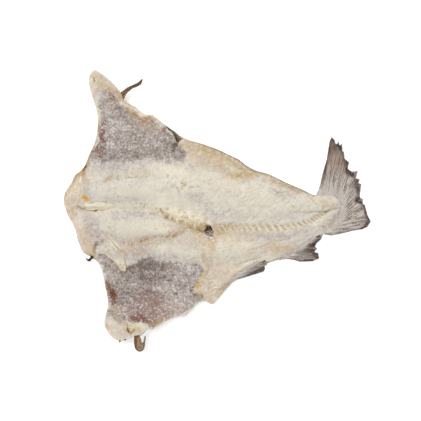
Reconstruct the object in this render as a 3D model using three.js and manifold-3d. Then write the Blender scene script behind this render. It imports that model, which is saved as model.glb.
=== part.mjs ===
// Salted dried cod: a whole cod without its head, split along the belly, laid open and dried flat.
// It lies with its flesh side up. Two thick loins run from the neck to the tail, on both sides of
// the line where the front of the backbone was cut out. Outside them the thin belly flaps open into
// two wings, and the rest of the backbone, the tail fin, the anal fins and the pectoral fins stay on.
// Millimetres, +Z up, +X from the neck to the tail, origin under the middle of the fish, on the
// surface that it lies on.

import * as THREE from "three";
import { mergeVertices } from "three/addons/utils/BufferGeometryUtils.js";
import Module from "manifold-3d";

// Driving sizes
const LENGTH = 600; // neck to the tip of the tail fin
const LOIN_RISE = 17; // thickest loin, over the belly flap
const FLAP_THICK = 5; // belly flap
const FIN_THICK = 2.2; // dried fins
const CURL = 17; // how far the wing tips lift off the surface
const FLESH_GRID = 9; // grid of the flesh side
const SKIN_GRID = 24; // grid of the skin side

// Every outline and path below is drawn for a fish of this length and scaled to LENGTH.
const DRAWN_LENGTH = 600;
const SCALE = LENGTH / DRAWN_LENGTH;
const at = ([x, y]) => new THREE.Vector2(x * SCALE, y * SCALE);

// Outline of the flesh and skin without the fins, in stretches that follow each other clockwise as
// seen from above
const UPPER_BELLY_EDGE = [
  [190, 31], [163, 42], [127, 58], [100, 71], [73, 79], [58, 87], [40, 100], [20, 110], [0, 119],
  [-33, 132], [-52, 137], [-68, 144], [-84, 156], [-99, 166], [-116, 179], [-127, 187.5],
  [-141, 188], [-156, 200], [-170, 208], [-181, 217],
];
const UPPER_WING = [
  [-188, 230], [-207, 252], [-229, 270], [-240, 273], [-249, 260], [-248, 238], [-240, 212],
  [-234, 189], [-233, 165], [-238, 137],
];
const NECK_CUT = [
  [-249, 112], [-259, 88], [-266, 79], [-276, 72], [-285, 54], [-296, 38], [-299.5, 20], [-293.5, -4],
  [-279, -32], [-271, -60], [-262, -80], [-246, -90], [-233, -100], [-224, -120], [-219, -144],
  [-213, -180],
];
const LOWER_WING = [
  [-216, -197], [-220, -215], [-215, -232], [-204, -245], [-191, -251], [-176, -250],
  [-163, -243], [-150, -240], [-142, -236], [-136, -229], [-127, -230],
];
const LOWER_BELLY_EDGE = [
  [-112, -223], [-98, -214], [-85, -207], [-62, -203], [-52, -194], [-38, -180], [-25, -175],
  [-11, -181], [1, -171], [16, -154], [29, -140], [46, -129], [64, -119], [82, -108], [98, -102],
  [122, -94], [136, -91], [152, -84], [168, -73], [183, -61], [196, -52],
];
const TAIL_ROOT = [
  [208, -44], [226, -42], [236, -25], [236, -5], [241, 10], [237, 23], [226, 30], [206, 32],
];
const BODY_POINTS = 340; // points that the smooth outline is cut into

// Fins: smooth front edge, then the torn edge where the rays have broken off
const TAIL_FIN = [
  [186, 24], [195, 38], [200, 55], [205, 76], [212, 100], [215, 120], [218, 138], [222, 144],
  [228, 138], [229, 130], [232, 130], [235, 137], [237, 127], [242, 131], [243, 116], [246, 115],
  [247, 102], [256, 95], [253, 82], [262, 77], [273, 78], [269, 64], [277, 62], [274, 54],
  [280, 53], [277, 30], [278, 26], [283, 24], [283, 15], [287, 12], [292, -7], [298.5, -20],
  [292, -31], [281, -36], [262, -39], [242, -44], [222, -48], [208, -46], [205, -20],
];
const ANAL_FIN_FRONT = [
  [24, -138], [34, -135], [60, -128], [80, -121], [90, -118], [93, -112], [91, -107], [97, -104],
  [84, -100], [40, -122],
];
const ANAL_FIN_REAR = [
  [118, -95], [134, -93], [148, -95], [160, -99], [185, -98], [198, -92], [196, -81], [188, -80],
  [194, -73], [190, -69], [193, -63], [201, -56], [205, -46], [190, -46], [140, -78],
];

// Fin rays, each from a place along the root to the same share of the way along the margin
const TAIL_RAYS = {
  root: [[203, 40], [216, 38], [230, 31], [239, 18], [240, -2], [238, -20], [230, -34], [216, -44]],
  margin: [[218, 134], [236, 122], [247, 92], [267, 73], [273, 40], [286, 4], [292, -24], [262, -38]],
  count: 12,
};
const ANAL_RAYS = {
  root: [[122, -92], [140, -84], [164, -69], [186, -53]],
  margin: [[152, -96], [190, -95], [191, -76], [200, -57]],
  count: 6,
};
const RAY_WIDTH = 2.4;
const RAY_RISE = 0.9;

// Ridges (+) and hollows (-) of the flesh: [x, y, reach to each side, height as a share of
// LOIN_RISE] at points along each
const RIDGES = {
  upperLoin: [
    [-286, 38, 30, 0.4], [-240, 42, 46, 0.8], [-150, 46, 56, 1], [-60, 42, 58, 0.95],
    [20, 34, 54, 0.8], [100, 20, 42, 0.65], [170, 10, 28, 0.5], [228, 13, 20, 0.2],
  ],
  lowerLoin: [
    [-280, -30, 30, 0.35], [-230, -28, 40, 0.7], [-150, -30, 42, 0.85], [-80, -38, 44, 0.8],
    [-15, -66, 44, 0.7], [60, -66, 40, 0.55], [130, -56, 32, 0.42], [195, -34, 22, 0.25],
  ],
  upperRibMeat: [[-236, 88, 30, 0.25], [-120, 88, 34, 0.38], [-40, 82, 36, 0.38], [40, 72, 28, 0.25]],
  lowerRibMeat: [[-200, -78, 26, 0.25], [-110, -80, 28, 0.3], [-40, -90, 36, 0.3], [20, -112, 34, 0.2]],
  upperCollarBone: [[-238, 258, 20, 0.35], [-238, 228, 16, 0.25], [-230, 190, 12, 0.1]],
  lowerCollarBone: [[-196, -226, 30, 0.35], [-164, -224, 18, 0.3]],
  ventFlap: [[-20, -112, 18, 0.1], [-32, -145, 15, 0.22], [-16, -168, 15, 0.22]],
  backboneCut: [
    [-278, 3, 8, -0.2], [-200, 4, 8, -0.15], [-130, 1, 10, -0.15], [-65, -22, 12, -0.3],
    [-22, -36, 12, -0.35],
  ],
  backboneBed: [
    [-4, -35, 15, -0.2], [60, -35, 15, -0.22], [130, -34, 14, -0.22], [170, -26, 12, -0.18],
    [207, -8, 9, -0.1],
  ],
};

// The back lies flat along this line, and the sides curl up away from it.
const BACK_LINE = [[-290, 4, 0, 0], [-100, -4, 0, 0], [0, -30, 0, 0], [110, -28, 0, 0], [215, -6, 0, 0]];
const REST_REACH = 62; // half width of the flat back
const CURL_REACH = 262; // distance from the back line at which the full curl is reached
const CURL_POWER = 1.5;
const EDGE_THIN = 0.3; // share of the flap's thickness that is lost at its edge
const EDGE_REACH = 16; // how far in from the edge that starts

// What is left of the backbone: one slanting bar of bone for each vertebra
const BACKBONE = [[20, -33], [60, -33], [100, -33.5], [130, -32.5], [152, -28], [175, -22], [203, -9]];
const VERTEBRAE = 19;
const VERTEBRA_STEP_FRONT = 11.6;
const VERTEBRA_STEP_REAR = 7.6;
const BAR_LENGTH_FRONT = 19;
const BAR_LENGTH_REAR = 9;
const BAR_WIDTH = 3.4;
const BAR_HEIGHT = 3.2;
const BAR_SLANT = -0.95; // radians from the fish's long axis

// Where the knife cut the backbone off, a pit stays in the flesh.
const PIT = { x: -17, y: -40, radiusX: 6, radiusY: 11, floor: 7 };

// A slit where the upper flap is folded over its neighbour
const FOLD_SLIT = [[-102, 171], [-88, 151], [-82, 140], [-84, 117], [-73, 136], [-66, 140], [-60, 146]];
const SLIT_FLOOR = 1.6; // skin left under the slit

// A strip of loose flesh that hangs over the lower flap
const LOOSE_STRIP = [
  [-236, -74], [-218, -86], [-198, -98], [-190, -113], [-181, -118], [-176, -112], [-180, -94],
  [-192, -76], [-206, -60], [-226, -56],
];
const STRIP_THICK = 3;

// Pectoral fins, dried to curled straps that stick out past the wings
const UPPER_PECTORAL = [
  [-196, 216], [-188, 229.5], [-179, 237], [-172, 241.5], [-163.5, 245], [-155, 249.5], [-148.5, 255],
  [-145.5, 256], [-145.5, 250.5], [-148.5, 245], [-155, 240.5], [-164, 237], [-172, 231], [-177, 225],
  [-181.5, 216], [-188, 210],
];
const LOWER_PECTORAL = [
  [-163, -222], [-162, -241], [-162, -256], [-159.5, -267], [-154, -272.5], [-147, -272],
  [-141.5, -266], [-139.5, -254], [-139, -242], [-141.5, -243], [-143, -249], [-145.5, -255.5],
  [-148, -248], [-150.5, -238], [-152, -224],
];
const PECTORAL_THICK = 3.6;
const PECTORAL_BEVEL = 0.8;

// A scrap of gill cover that the knife left on the neck
const NECK_SCRAP = { x: -249, y: -92, z: 5, sizeX: 10, sizeY: 7, sizeZ: 3 };

const { smoothstep, lerp, clamp } = THREE.MathUtils;

const wasm = await Module();
wasm.setup();

// A closed geometry as a manifold-3d solid
function solid(geometry) {
  const bare = geometry.index ? geometry.toNonIndexed() : geometry.clone();
  bare.deleteAttribute("normal");
  bare.deleteAttribute("uv");
  const merged = mergeVertices(bare, 1e-4);
  return new wasm.Manifold(
    new wasm.Mesh({
      numProp: 3,
      vertProperties: new Float32Array(merged.attributes.position.array),
      triVerts: new Uint32Array(merged.index.array),
    }),
  );
}

// A manifold-3d solid as a geometry that three.js can show
function geometryOf(made) {
  const mesh = made.getMesh();
  const positions = new Float32Array(mesh.numVert * 3);
  for (let i = 0; i < mesh.numVert; i++) {
    positions.set(mesh.vertProperties.subarray(i * mesh.numProp, i * mesh.numProp + 3), i * 3);
  }
  const geometry = new THREE.BufferGeometry();
  geometry.setAttribute("position", new THREE.BufferAttribute(positions, 3));
  geometry.setIndex(new THREE.BufferAttribute(mesh.triVerts, 1));
  geometry.computeVertexNormals();
  return geometry;
}

// Smooth closed outline through points, as evenly spaced points
function smoothOutline(points, count) {
  const corners = points.map(at).map((p) => new THREE.Vector3(p.x, p.y, 0));
  const curve = new THREE.CatmullRomCurve3(corners, true, "centripetal");
  return curve.getSpacedPoints(count).slice(0, count).map((p) => new THREE.Vector2(p.x, p.y));
}

const BODY_OUTLINE = smoothOutline(
  [
    ...UPPER_BELLY_EDGE, ...UPPER_WING, ...NECK_CUT, ...LOWER_WING, ...LOWER_BELLY_EDGE, ...TAIL_ROOT,
  ],
  BODY_POINTS,
);

// Nearest place on a path of [x, y, a, b] points: its distance, and a and b there
function nearest(path, x, y) {
  let best = { distance: Infinity, a: 0, b: 0 };
  for (let i = 0; i + 1 < path.length; i++) {
    const from = at(path[i]);
    const to = at(path[i + 1]);
    const dx = to.x - from.x;
    const dy = to.y - from.y;
    const t = clamp(((x - from.x) * dx + (y - from.y) * dy) / (dx * dx + dy * dy), 0, 1);
    const distance = Math.hypot(x - from.x - t * dx, y - from.y - t * dy);
    if (distance < best.distance) {
      const a = lerp(path[i][2], path[i + 1][2], t);
      const b = lerp(path[i][3], path[i + 1][3], t);
      best = { distance, a, b };
    }
  }
  return best;
}

// Height that a ridge adds at a place: a rounded hump that fades out at its reach
function ridgeHeight(path, x, y) {
  const { distance, a: reach, b: share } = nearest(path, x, y);
  const t = distance / (reach * SCALE);
  return t < 1 ? share * LOIN_RISE * (0.5 + 0.5 * Math.cos(Math.PI * t)) : 0;
}

// Distance in from the body's outline, negative in the fins outside it
function insideBody(x, y) {
  let distance = Infinity;
  let inside = false;
  for (let i = 0, j = BODY_OUTLINE.length - 1; i < BODY_OUTLINE.length; j = i++) {
    const p = BODY_OUTLINE[i];
    const q = BODY_OUTLINE[j];
    const dx = q.x - p.x;
    const dy = q.y - p.y;
    const t = clamp(((x - p.x) * dx + (y - p.y) * dy) / (dx * dx + dy * dy), 0, 1);
    distance = Math.min(distance, Math.hypot(x - p.x - t * dx, y - p.y - t * dy));
    if (p.y > y !== q.y > y && x < p.x + (dx * (y - p.y)) / dy) inside = !inside;
  }
  return inside ? distance : -distance;
}

// Height of the skin side over the surface: flat along the back, curling up and gently wavy outside
function skinSide(x, y) {
  const away = nearest(BACK_LINE, x, y).distance / SCALE;
  const t = Math.max(0, (away - REST_REACH) / (CURL_REACH - REST_REACH));
  const wave = 1 + 0.22 * Math.sin(x / (26 * SCALE) + 0.6) * Math.cos(y / (41 * SCALE));
  return CURL * t ** CURL_POWER * wave;
}

// Thickness between the skin side and the flesh side
function thickness(x, y) {
  const inside = insideBody(x, y) / SCALE;
  const edge = 1 - EDGE_THIN * (1 - smoothstep(inside, 0, EDGE_REACH));
  let flesh = FLAP_THICK * edge;
  const rise = smoothstep(inside, -2, 22);
  for (const path of Object.values(RIDGES)) flesh += rise * ridgeHeight(path, x, y);
  return lerp(FIN_THICK, flesh, smoothstep(inside, -9, 2));
}

const fleshSide = (x, y) => skinSide(x, y) + thickness(x, y);

// A block whose upper or lower side is a relief over the whole fish
const BLOCK_TOP = 80;
const BLOCK_BOTTOM = -20;
function reliefBlock(grid, lower, upper) {
  const size = LENGTH + 4 * FLESH_GRID;
  const cells = Math.round(size / grid);
  const block = new THREE.BoxGeometry(size, size, 1, cells, cells, 1);
  const position = block.attributes.position;
  for (let i = 0; i < position.count; i++) {
    const side = position.getZ(i) > 0 ? upper : lower;
    position.setZ(i, side(position.getX(i), position.getY(i)));
  }
  return solid(block);
}

// A flat outline drawn up through the whole height of the blocks
function through(outline) {
  const depth = BLOCK_TOP - BLOCK_BOTTOM;
  const made = new THREE.ExtrudeGeometry(new THREE.Shape(outline), { depth, bevelEnabled: false });
  return solid(made.translate(0, 0, BLOCK_BOTTOM));
}

const OVER_SKIN = reliefBlock(SKIN_GRID, skinSide, () => BLOCK_TOP);

// The relief between the skin side and a height over the flesh side, inside an outline
function slab(column, raised) {
  const upper = (x, y) => fleshSide(x, y) + raised;
  const underFlesh = reliefBlock(FLESH_GRID, () => BLOCK_BOTTOM, upper);
  return column.intersect(underFlesh).intersect(OVER_SKIN);
}

// Body and fins in one
function bodyAndFins() {
  const outlines = [
    BODY_OUTLINE, TAIL_FIN.map(at), ANAL_FIN_FRONT.map(at), ANAL_FIN_REAR.map(at),
  ];
  return slab(outlines.map(through).reduce((sum, next) => sum.add(next)), 0);
}

// The bars of the backbone, closer and shorter towards the tail
function vertebrae() {
  const line = new THREE.SplineCurve(BACKBONE.map(at));
  const length = line.getLength();
  const bars = [];
  let along = 0;
  for (let i = 0; i < VERTEBRAE && along < length; i++) {
    const share = along / length;
    const place = line.getPointAt(share);
    const half = lerp(BAR_LENGTH_FRONT, BAR_LENGTH_REAR, share) / 2;
    const bar = new THREE.SphereGeometry(1, 8, 6);
    bar.rotateX(Math.PI / 2);
    bar.scale(half * SCALE, (BAR_WIDTH / 2) * SCALE, BAR_HEIGHT / 2);
    bar.rotateZ(BAR_SLANT);
    bar.translate(place.x, place.y, fleshSide(place.x, place.y));
    bars.push(solid(bar));
    along += lerp(VERTEBRA_STEP_FRONT, VERTEBRA_STEP_REAR, share) * SCALE;
  }
  return bars;
}

// The rays of a fin as one column, each a long thin triangle that ends in a point at the margin
function rays({ root, margin, count }) {
  const roots = new THREE.SplineCurve(root.map(at));
  const margins = new THREE.SplineCurve(margin.map(at));
  const wedges = [];
  for (let i = 0; i < count; i++) {
    const from = roots.getPoint(i / (count - 1));
    const to = margins.getPoint(i / (count - 1));
    const along = to.clone().sub(from).normalize();
    const side = new THREE.Vector2(-along.y, along.x).multiplyScalar((RAY_WIDTH / 2) * SCALE);
    wedges.push(through([from.clone().sub(side), to, from.clone().add(side)]));
  }
  return wedges.reduce((sum, next) => sum.add(next));
}

const finRays = () => slab(rays(TAIL_RAYS).add(rays(ANAL_RAYS)), RAY_RISE);

const looseStrip = () => slab(through(smoothOutline(LOOSE_STRIP, 28)), STRIP_THICK);

// A dried pectoral fin: a flat strap with bevelled edges, level with the flap that it grows from
function pectoralFin(points) {
  const geometry = new THREE.ExtrudeGeometry(new THREE.Shape(smoothOutline(points, 40)), {
    depth: PECTORAL_THICK - 2 * PECTORAL_BEVEL,
    bevelThickness: PECTORAL_BEVEL,
    bevelSize: PECTORAL_BEVEL,
    bevelOffset: -PECTORAL_BEVEL,
    bevelSegments: 1,
  });
  const root = at(points[0]);
  const middle = skinSide(root.x, root.y) + FLAP_THICK / 2;
  return solid(geometry.translate(0, 0, middle - PECTORAL_THICK / 2 + PECTORAL_BEVEL));
}

function neckScrap() {
  const { x, y, z, sizeX, sizeY, sizeZ } = NECK_SCRAP;
  const place = at([x, y]);
  const scrap = new THREE.IcosahedronGeometry(1, 1);
  scrap.scale(sizeX * SCALE, sizeY * SCALE, sizeZ);
  scrap.rotateZ(0.5);
  return solid(scrap.translate(place.x, place.y, z));
}

function pit() {
  const place = at([PIT.x, PIT.y]);
  const hole = new THREE.CylinderGeometry(1, 0.7, BLOCK_TOP, 14);
  hole.rotateX(Math.PI / 2);
  hole.scale(PIT.radiusX * SCALE, PIT.radiusY * SCALE, 1);
  hole.translate(place.x, place.y, PIT.floor + BLOCK_TOP / 2);
  return solid(hole);
}

function foldSlit() {
  const floor = reliefBlock(SKIN_GRID, (x, y) => skinSide(x, y) + SLIT_FLOOR, () => BLOCK_TOP);
  return through(FOLD_SLIT.map(at).reverse()).intersect(floor);
}

const grown = [
  looseStrip(), finRays(), ...vertebrae(), pectoralFin(UPPER_PECTORAL), pectoralFin(LOWER_PECTORAL),
  neckScrap(),
].reduce((sum, next) => sum.add(next), bodyAndFins());
const fish = grown.subtract(pit()).subtract(foldSlit());

const driedFlesh = new THREE.MeshStandardMaterial({ color: 0xd9d0bf, roughness: 0.9, metalness: 0 });
const cod = new THREE.Mesh(geometryOf(fish), driedFlesh);
cod.name = "split_cod";

const part = new THREE.Group();
part.add(cod);

export default part;
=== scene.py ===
"""Looks of a salted dried cod: split along the belly, laid open with its flesh side up, salted and dried.

X runs from the neck to the tail and +Z comes up out of the flesh. Outlines, paths and heights are in
millimetres; meshes are made in metres, as the floor and the camera's place are.
"""

import math

import bmesh
import bpy
import numpy as np
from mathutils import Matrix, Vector
from mathutils.geometry import delaunay_2d_cdt


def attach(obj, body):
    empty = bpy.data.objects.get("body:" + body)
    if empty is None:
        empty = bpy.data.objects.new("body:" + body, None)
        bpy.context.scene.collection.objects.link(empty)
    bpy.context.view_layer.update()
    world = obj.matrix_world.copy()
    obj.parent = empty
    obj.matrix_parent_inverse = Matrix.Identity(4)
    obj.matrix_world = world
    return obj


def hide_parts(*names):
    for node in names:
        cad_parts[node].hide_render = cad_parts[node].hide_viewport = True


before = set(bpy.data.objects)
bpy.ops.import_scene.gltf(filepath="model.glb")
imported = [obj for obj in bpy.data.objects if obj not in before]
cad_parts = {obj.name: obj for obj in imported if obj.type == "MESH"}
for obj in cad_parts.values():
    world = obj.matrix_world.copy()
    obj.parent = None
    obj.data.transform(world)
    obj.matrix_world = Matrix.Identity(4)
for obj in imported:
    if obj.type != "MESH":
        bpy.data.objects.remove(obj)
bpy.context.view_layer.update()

MM = 0.001
SEED = 7
LATTICE = 128  # cells before the noise repeats
NOISE_START = 300.5  # where the fish's origin lies in the noise, in cells

# ---------------------------------------------------------------- the fish's form

LOIN_RISE = 17.0  # thickest loin, over the belly flap
FLAP_THICK = 5.0
FIN_THICK = 2.2
FIN_LIFT = 0.3  # of a fin's underside over the level of the skin
CURL = 17.0  # how far the wing tips lift off the ground
REST_REACH = 62.0  # half width of the flat back
CURL_REACH = 262.0  # half width at which they have that lift
CURL_POWER = 1.5  # the larger, the later they leave the ground
EDGE_THIN = 0.3  # share by which the flaps thin at their edge
EDGE_REACH = 16.0  # and over what distance from it
SKIN_THICK = 0.9
WAVINESS = 0.22  # of the curled parts, as a share of their lift
WAVES = (26, 41)  # their length over a radian, along and across the fish
THINNEST = 1.8  # flesh and skin left at the bottom of the pits
HIGHEST = 21.5  # where the curled wing tips begin to level off
LEVELLING = 0.6  # share that is taken off above that
RIDGE_START = (-2, 22)  # from the outline inwards, where the ridges of the flesh rise
FIN_TO_FLESH = (-9, 2)  # and where a fin thickens into flesh

# Heights of the relief of the flesh side
COARSE_LUMPS = 0.4
FINE_LUMPS = 0.34
FIBRE_RISE = 0.3
BAR_RISE = 0.9
HOLLOW_DEPTH = 0.8
LINING_WRINKLES = 0.4
LINING_STEP = 0.8  # how far the belly lining lies below the flesh beside it

FLESH_SPACING = 1.4  # between the points of the flesh side
UNDER_SPACING = 4.5  # and of the skin side
FIN_SPACING = 1.2
WANDER = 2.2  # how far the edges of strokes and small forms stray
STROKE_FADE = 1.35  # where a stroke has faded out, in half widths
FIN_RAYS = 28
RAY_RISE = 0.3
BRANCH_RISE = 0.15
FIN_TAPER = 0.6  # what a fin loses in thickness from its root to its margin

UPPER_BELLY_EDGE = [
    (190, 31), (163, 42), (127, 58), (100, 71), (73, 79), (58, 87), (40, 100), (20, 110), (0, 119),
    (-33, 132), (-52, 137), (-68, 144), (-84, 156), (-99, 166), (-116, 179), (-127, 187.5),
    (-141, 188), (-156, 200), (-170, 208), (-181, 217),
]
UPPER_WING = [
    (-188, 230), (-207, 252), (-229, 270), (-240, 273), (-249, 260), (-248, 238), (-240, 212),
    (-234, 189), (-233, 165), (-238, 137),
]
NECK_CUT = [
    (-249, 112), (-259, 88), (-266, 79), (-276, 72), (-285, 54), (-296, 38), (-299.5, 20),
    (-293.5, -4), (-279, -32), (-271, -60), (-262, -80), (-246, -90), (-233, -100), (-224, -120),
    (-219, -144), (-213, -180),
]
LOWER_WING = [
    (-216, -197), (-220, -215), (-215, -232), (-204, -245), (-191, -251), (-176, -250),
    (-163, -243), (-150, -240), (-142, -236), (-136, -229), (-127, -230),
]
LOWER_BELLY_EDGE = [
    (-112, -223), (-98, -214), (-85, -207), (-62, -203), (-52, -194), (-38, -180), (-25, -175),
    (-11, -181), (1, -171), (16, -154), (29, -140), (46, -129), (64, -119), (82, -108), (98, -102),
    (122, -94), (136, -91), (152, -84), (168, -73), (183, -61), (196, -52),
]
TAIL_ROOT = [
    (208, -44), (226, -42), (236, -25), (236, -5), (241, 10), (237, 23), (226, 30), (206, 32),
]
TAIL_FIN = [
    (186, 24), (195, 38), (200, 55), (205, 76), (212, 100), (215, 120), (218, 138), (222, 144),
    (228, 138), (229, 130), (232, 130), (235, 137), (237, 127), (242, 131), (243, 116), (246, 115),
    (247, 102), (256, 95), (253, 82), (262, 77), (273, 78), (269, 64), (277, 62), (274, 54),
    (280, 53), (277, 30), (278, 26), (283, 24), (283, 15), (287, 12), (292, -7), (298.5, -20),
    (292, -31), (281, -36), (262, -39), (242, -44), (222, -48), (208, -46), (205, -20),
]
ANAL_FIN_FRONT = [
    (22, -146), (34, -135), (60, -127), (80, -121), (90, -118), (93, -112), (91, -107), (97, -104),
    (93, -95), (75, -100), (60, -108), (45, -119), (22, -139),
]
ANAL_FIN_REAR = [
    (119, -96), (134, -93.5), (148, -95), (160, -99), (185, -98), (198, -92), (196, -81), (188, -80),
    (194, -73), (190, -69), (193, -63), (201, -56), (205, -46), (196, -45), (180, -57), (165, -66),
    (150, -80), (138, -87), (120, -93),
]
UPPER_PECTORAL = [
    (-196, 216), (-188, 229.5), (-179, 237), (-172, 241.5), (-163.5, 245), (-155, 249.5),
    (-148.5, 255), (-145.5, 256), (-145.5, 250.5), (-148.5, 245), (-155, 240.5), (-164, 237),
    (-172, 231), (-177, 225), (-181.5, 216), (-188, 210),
]
LOWER_PECTORAL = [
    (-163, -222), (-162, -241), (-162, -256), (-159.5, -267), (-154, -272.5), (-147, -272),
    (-141.5, -266), (-139.5, -254), (-139, -242), (-141.5, -243), (-143, -249), (-145.5, -255.5),
    (-148, -248), (-150.5, -238), (-152, -224),
]
LOOSE_STRIP = [
    (-232, -76), (-230.5, -84), (-219, -85.5), (-213, -91), (-204, -96), (-198, -102), (-192.5, -110),
    (-184, -118), (-179, -118.5), (-176, -111), (-178.5, -102), (-179.5, -93), (-184, -86),
    (-191, -83), (-198, -76), (-203, -70), (-210, -65), (-219, -62), (-228, -64),
]

# Broad ridges (+) and hollows (-) of the flesh: (x, y, reach, share of LOIN_RISE)
RIDGES = {
    "upper loin": [
        (-286, 38, 30, 0.4), (-240, 42, 46, 0.8), (-150, 46, 56, 1), (-60, 42, 58, 0.95),
        (20, 34, 54, 0.8), (100, 20, 42, 0.65), (170, 10, 28, 0.5), (228, 13, 20, 0.2),
    ],
    "lower loin": [
        (-280, -30, 30, 0.35), (-230, -28, 40, 0.7), (-150, -30, 42, 0.85), (-80, -38, 44, 0.8),
        (-15, -66, 44, 0.7), (60, -66, 40, 0.55), (130, -56, 32, 0.42), (195, -34, 22, 0.25),
    ],
    "upper rib meat": [(-236, 88, 30, 0.25), (-120, 88, 34, 0.38), (-40, 82, 36, 0.38), (40, 72, 28, 0.25)],
    "lower rib meat": [
        (-200, -78, 26, 0.25), (-110, -80, 28, 0.3), (-40, -90, 36, 0.3), (20, -112, 34, 0.2),
    ],
    "upper collar bone": [(-238, 258, 20, 0.35), (-238, 228, 16, 0.25), (-230, 190, 12, 0.1)],
    "lower collar bone": [(-196, -226, 30, 0.35), (-164, -224, 18, 0.3)],
    "vent flap": [(-20, -112, 18, 0.1), (-32, -145, 15, 0.22), (-16, -168, 15, 0.22)],
    "cut along the backbone": [
        (-278, 3, 8, -0.2), (-200, 4, 8, -0.15), (-130, 1, 10, -0.15), (-65, -22, 12, -0.3),
        (-22, -36, 12, -0.35),
    ],
    "bed of the backbone": [
        (-4, -35, 15, -0.2), (60, -35, 15, -0.22), (130, -34, 14, -0.22), (170, -26, 12, -0.18),
        (207, -8, 9, -0.1),
    ],
}
BACKBONE = [(-4, -34), (60, -33), (100, -33.5), (130, -32.5), (152, -28), (175, -22), (203, -9)]
BARS = [  # how far along the backbone each bone left a bar
    -6, 6, 17, 28, 39, 49, 60, 72, 85, 99, 113, 126, 138, 149.5, 160.5, 171, 180, 188, 195, 202, 209, 215,
]
BAR_LEAN = 0.7  # of the bars, along the backbone for each step across it
BAR_REACH = (9, 4.5)  # half length of the bars, at the cut end and at the tail
CRUSHED_END = 90  # length of the backbone over which the bars go from crushed to whole
UPPER_LEAN = math.radians(36)  # of the muscle fibres, from the fish's long axis
LOWER_LEAN = math.radians(22)
BACK_LINE = [(-290, 4), (-100, -4), (0, -30), (110, -28), (215, -6)]

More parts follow.
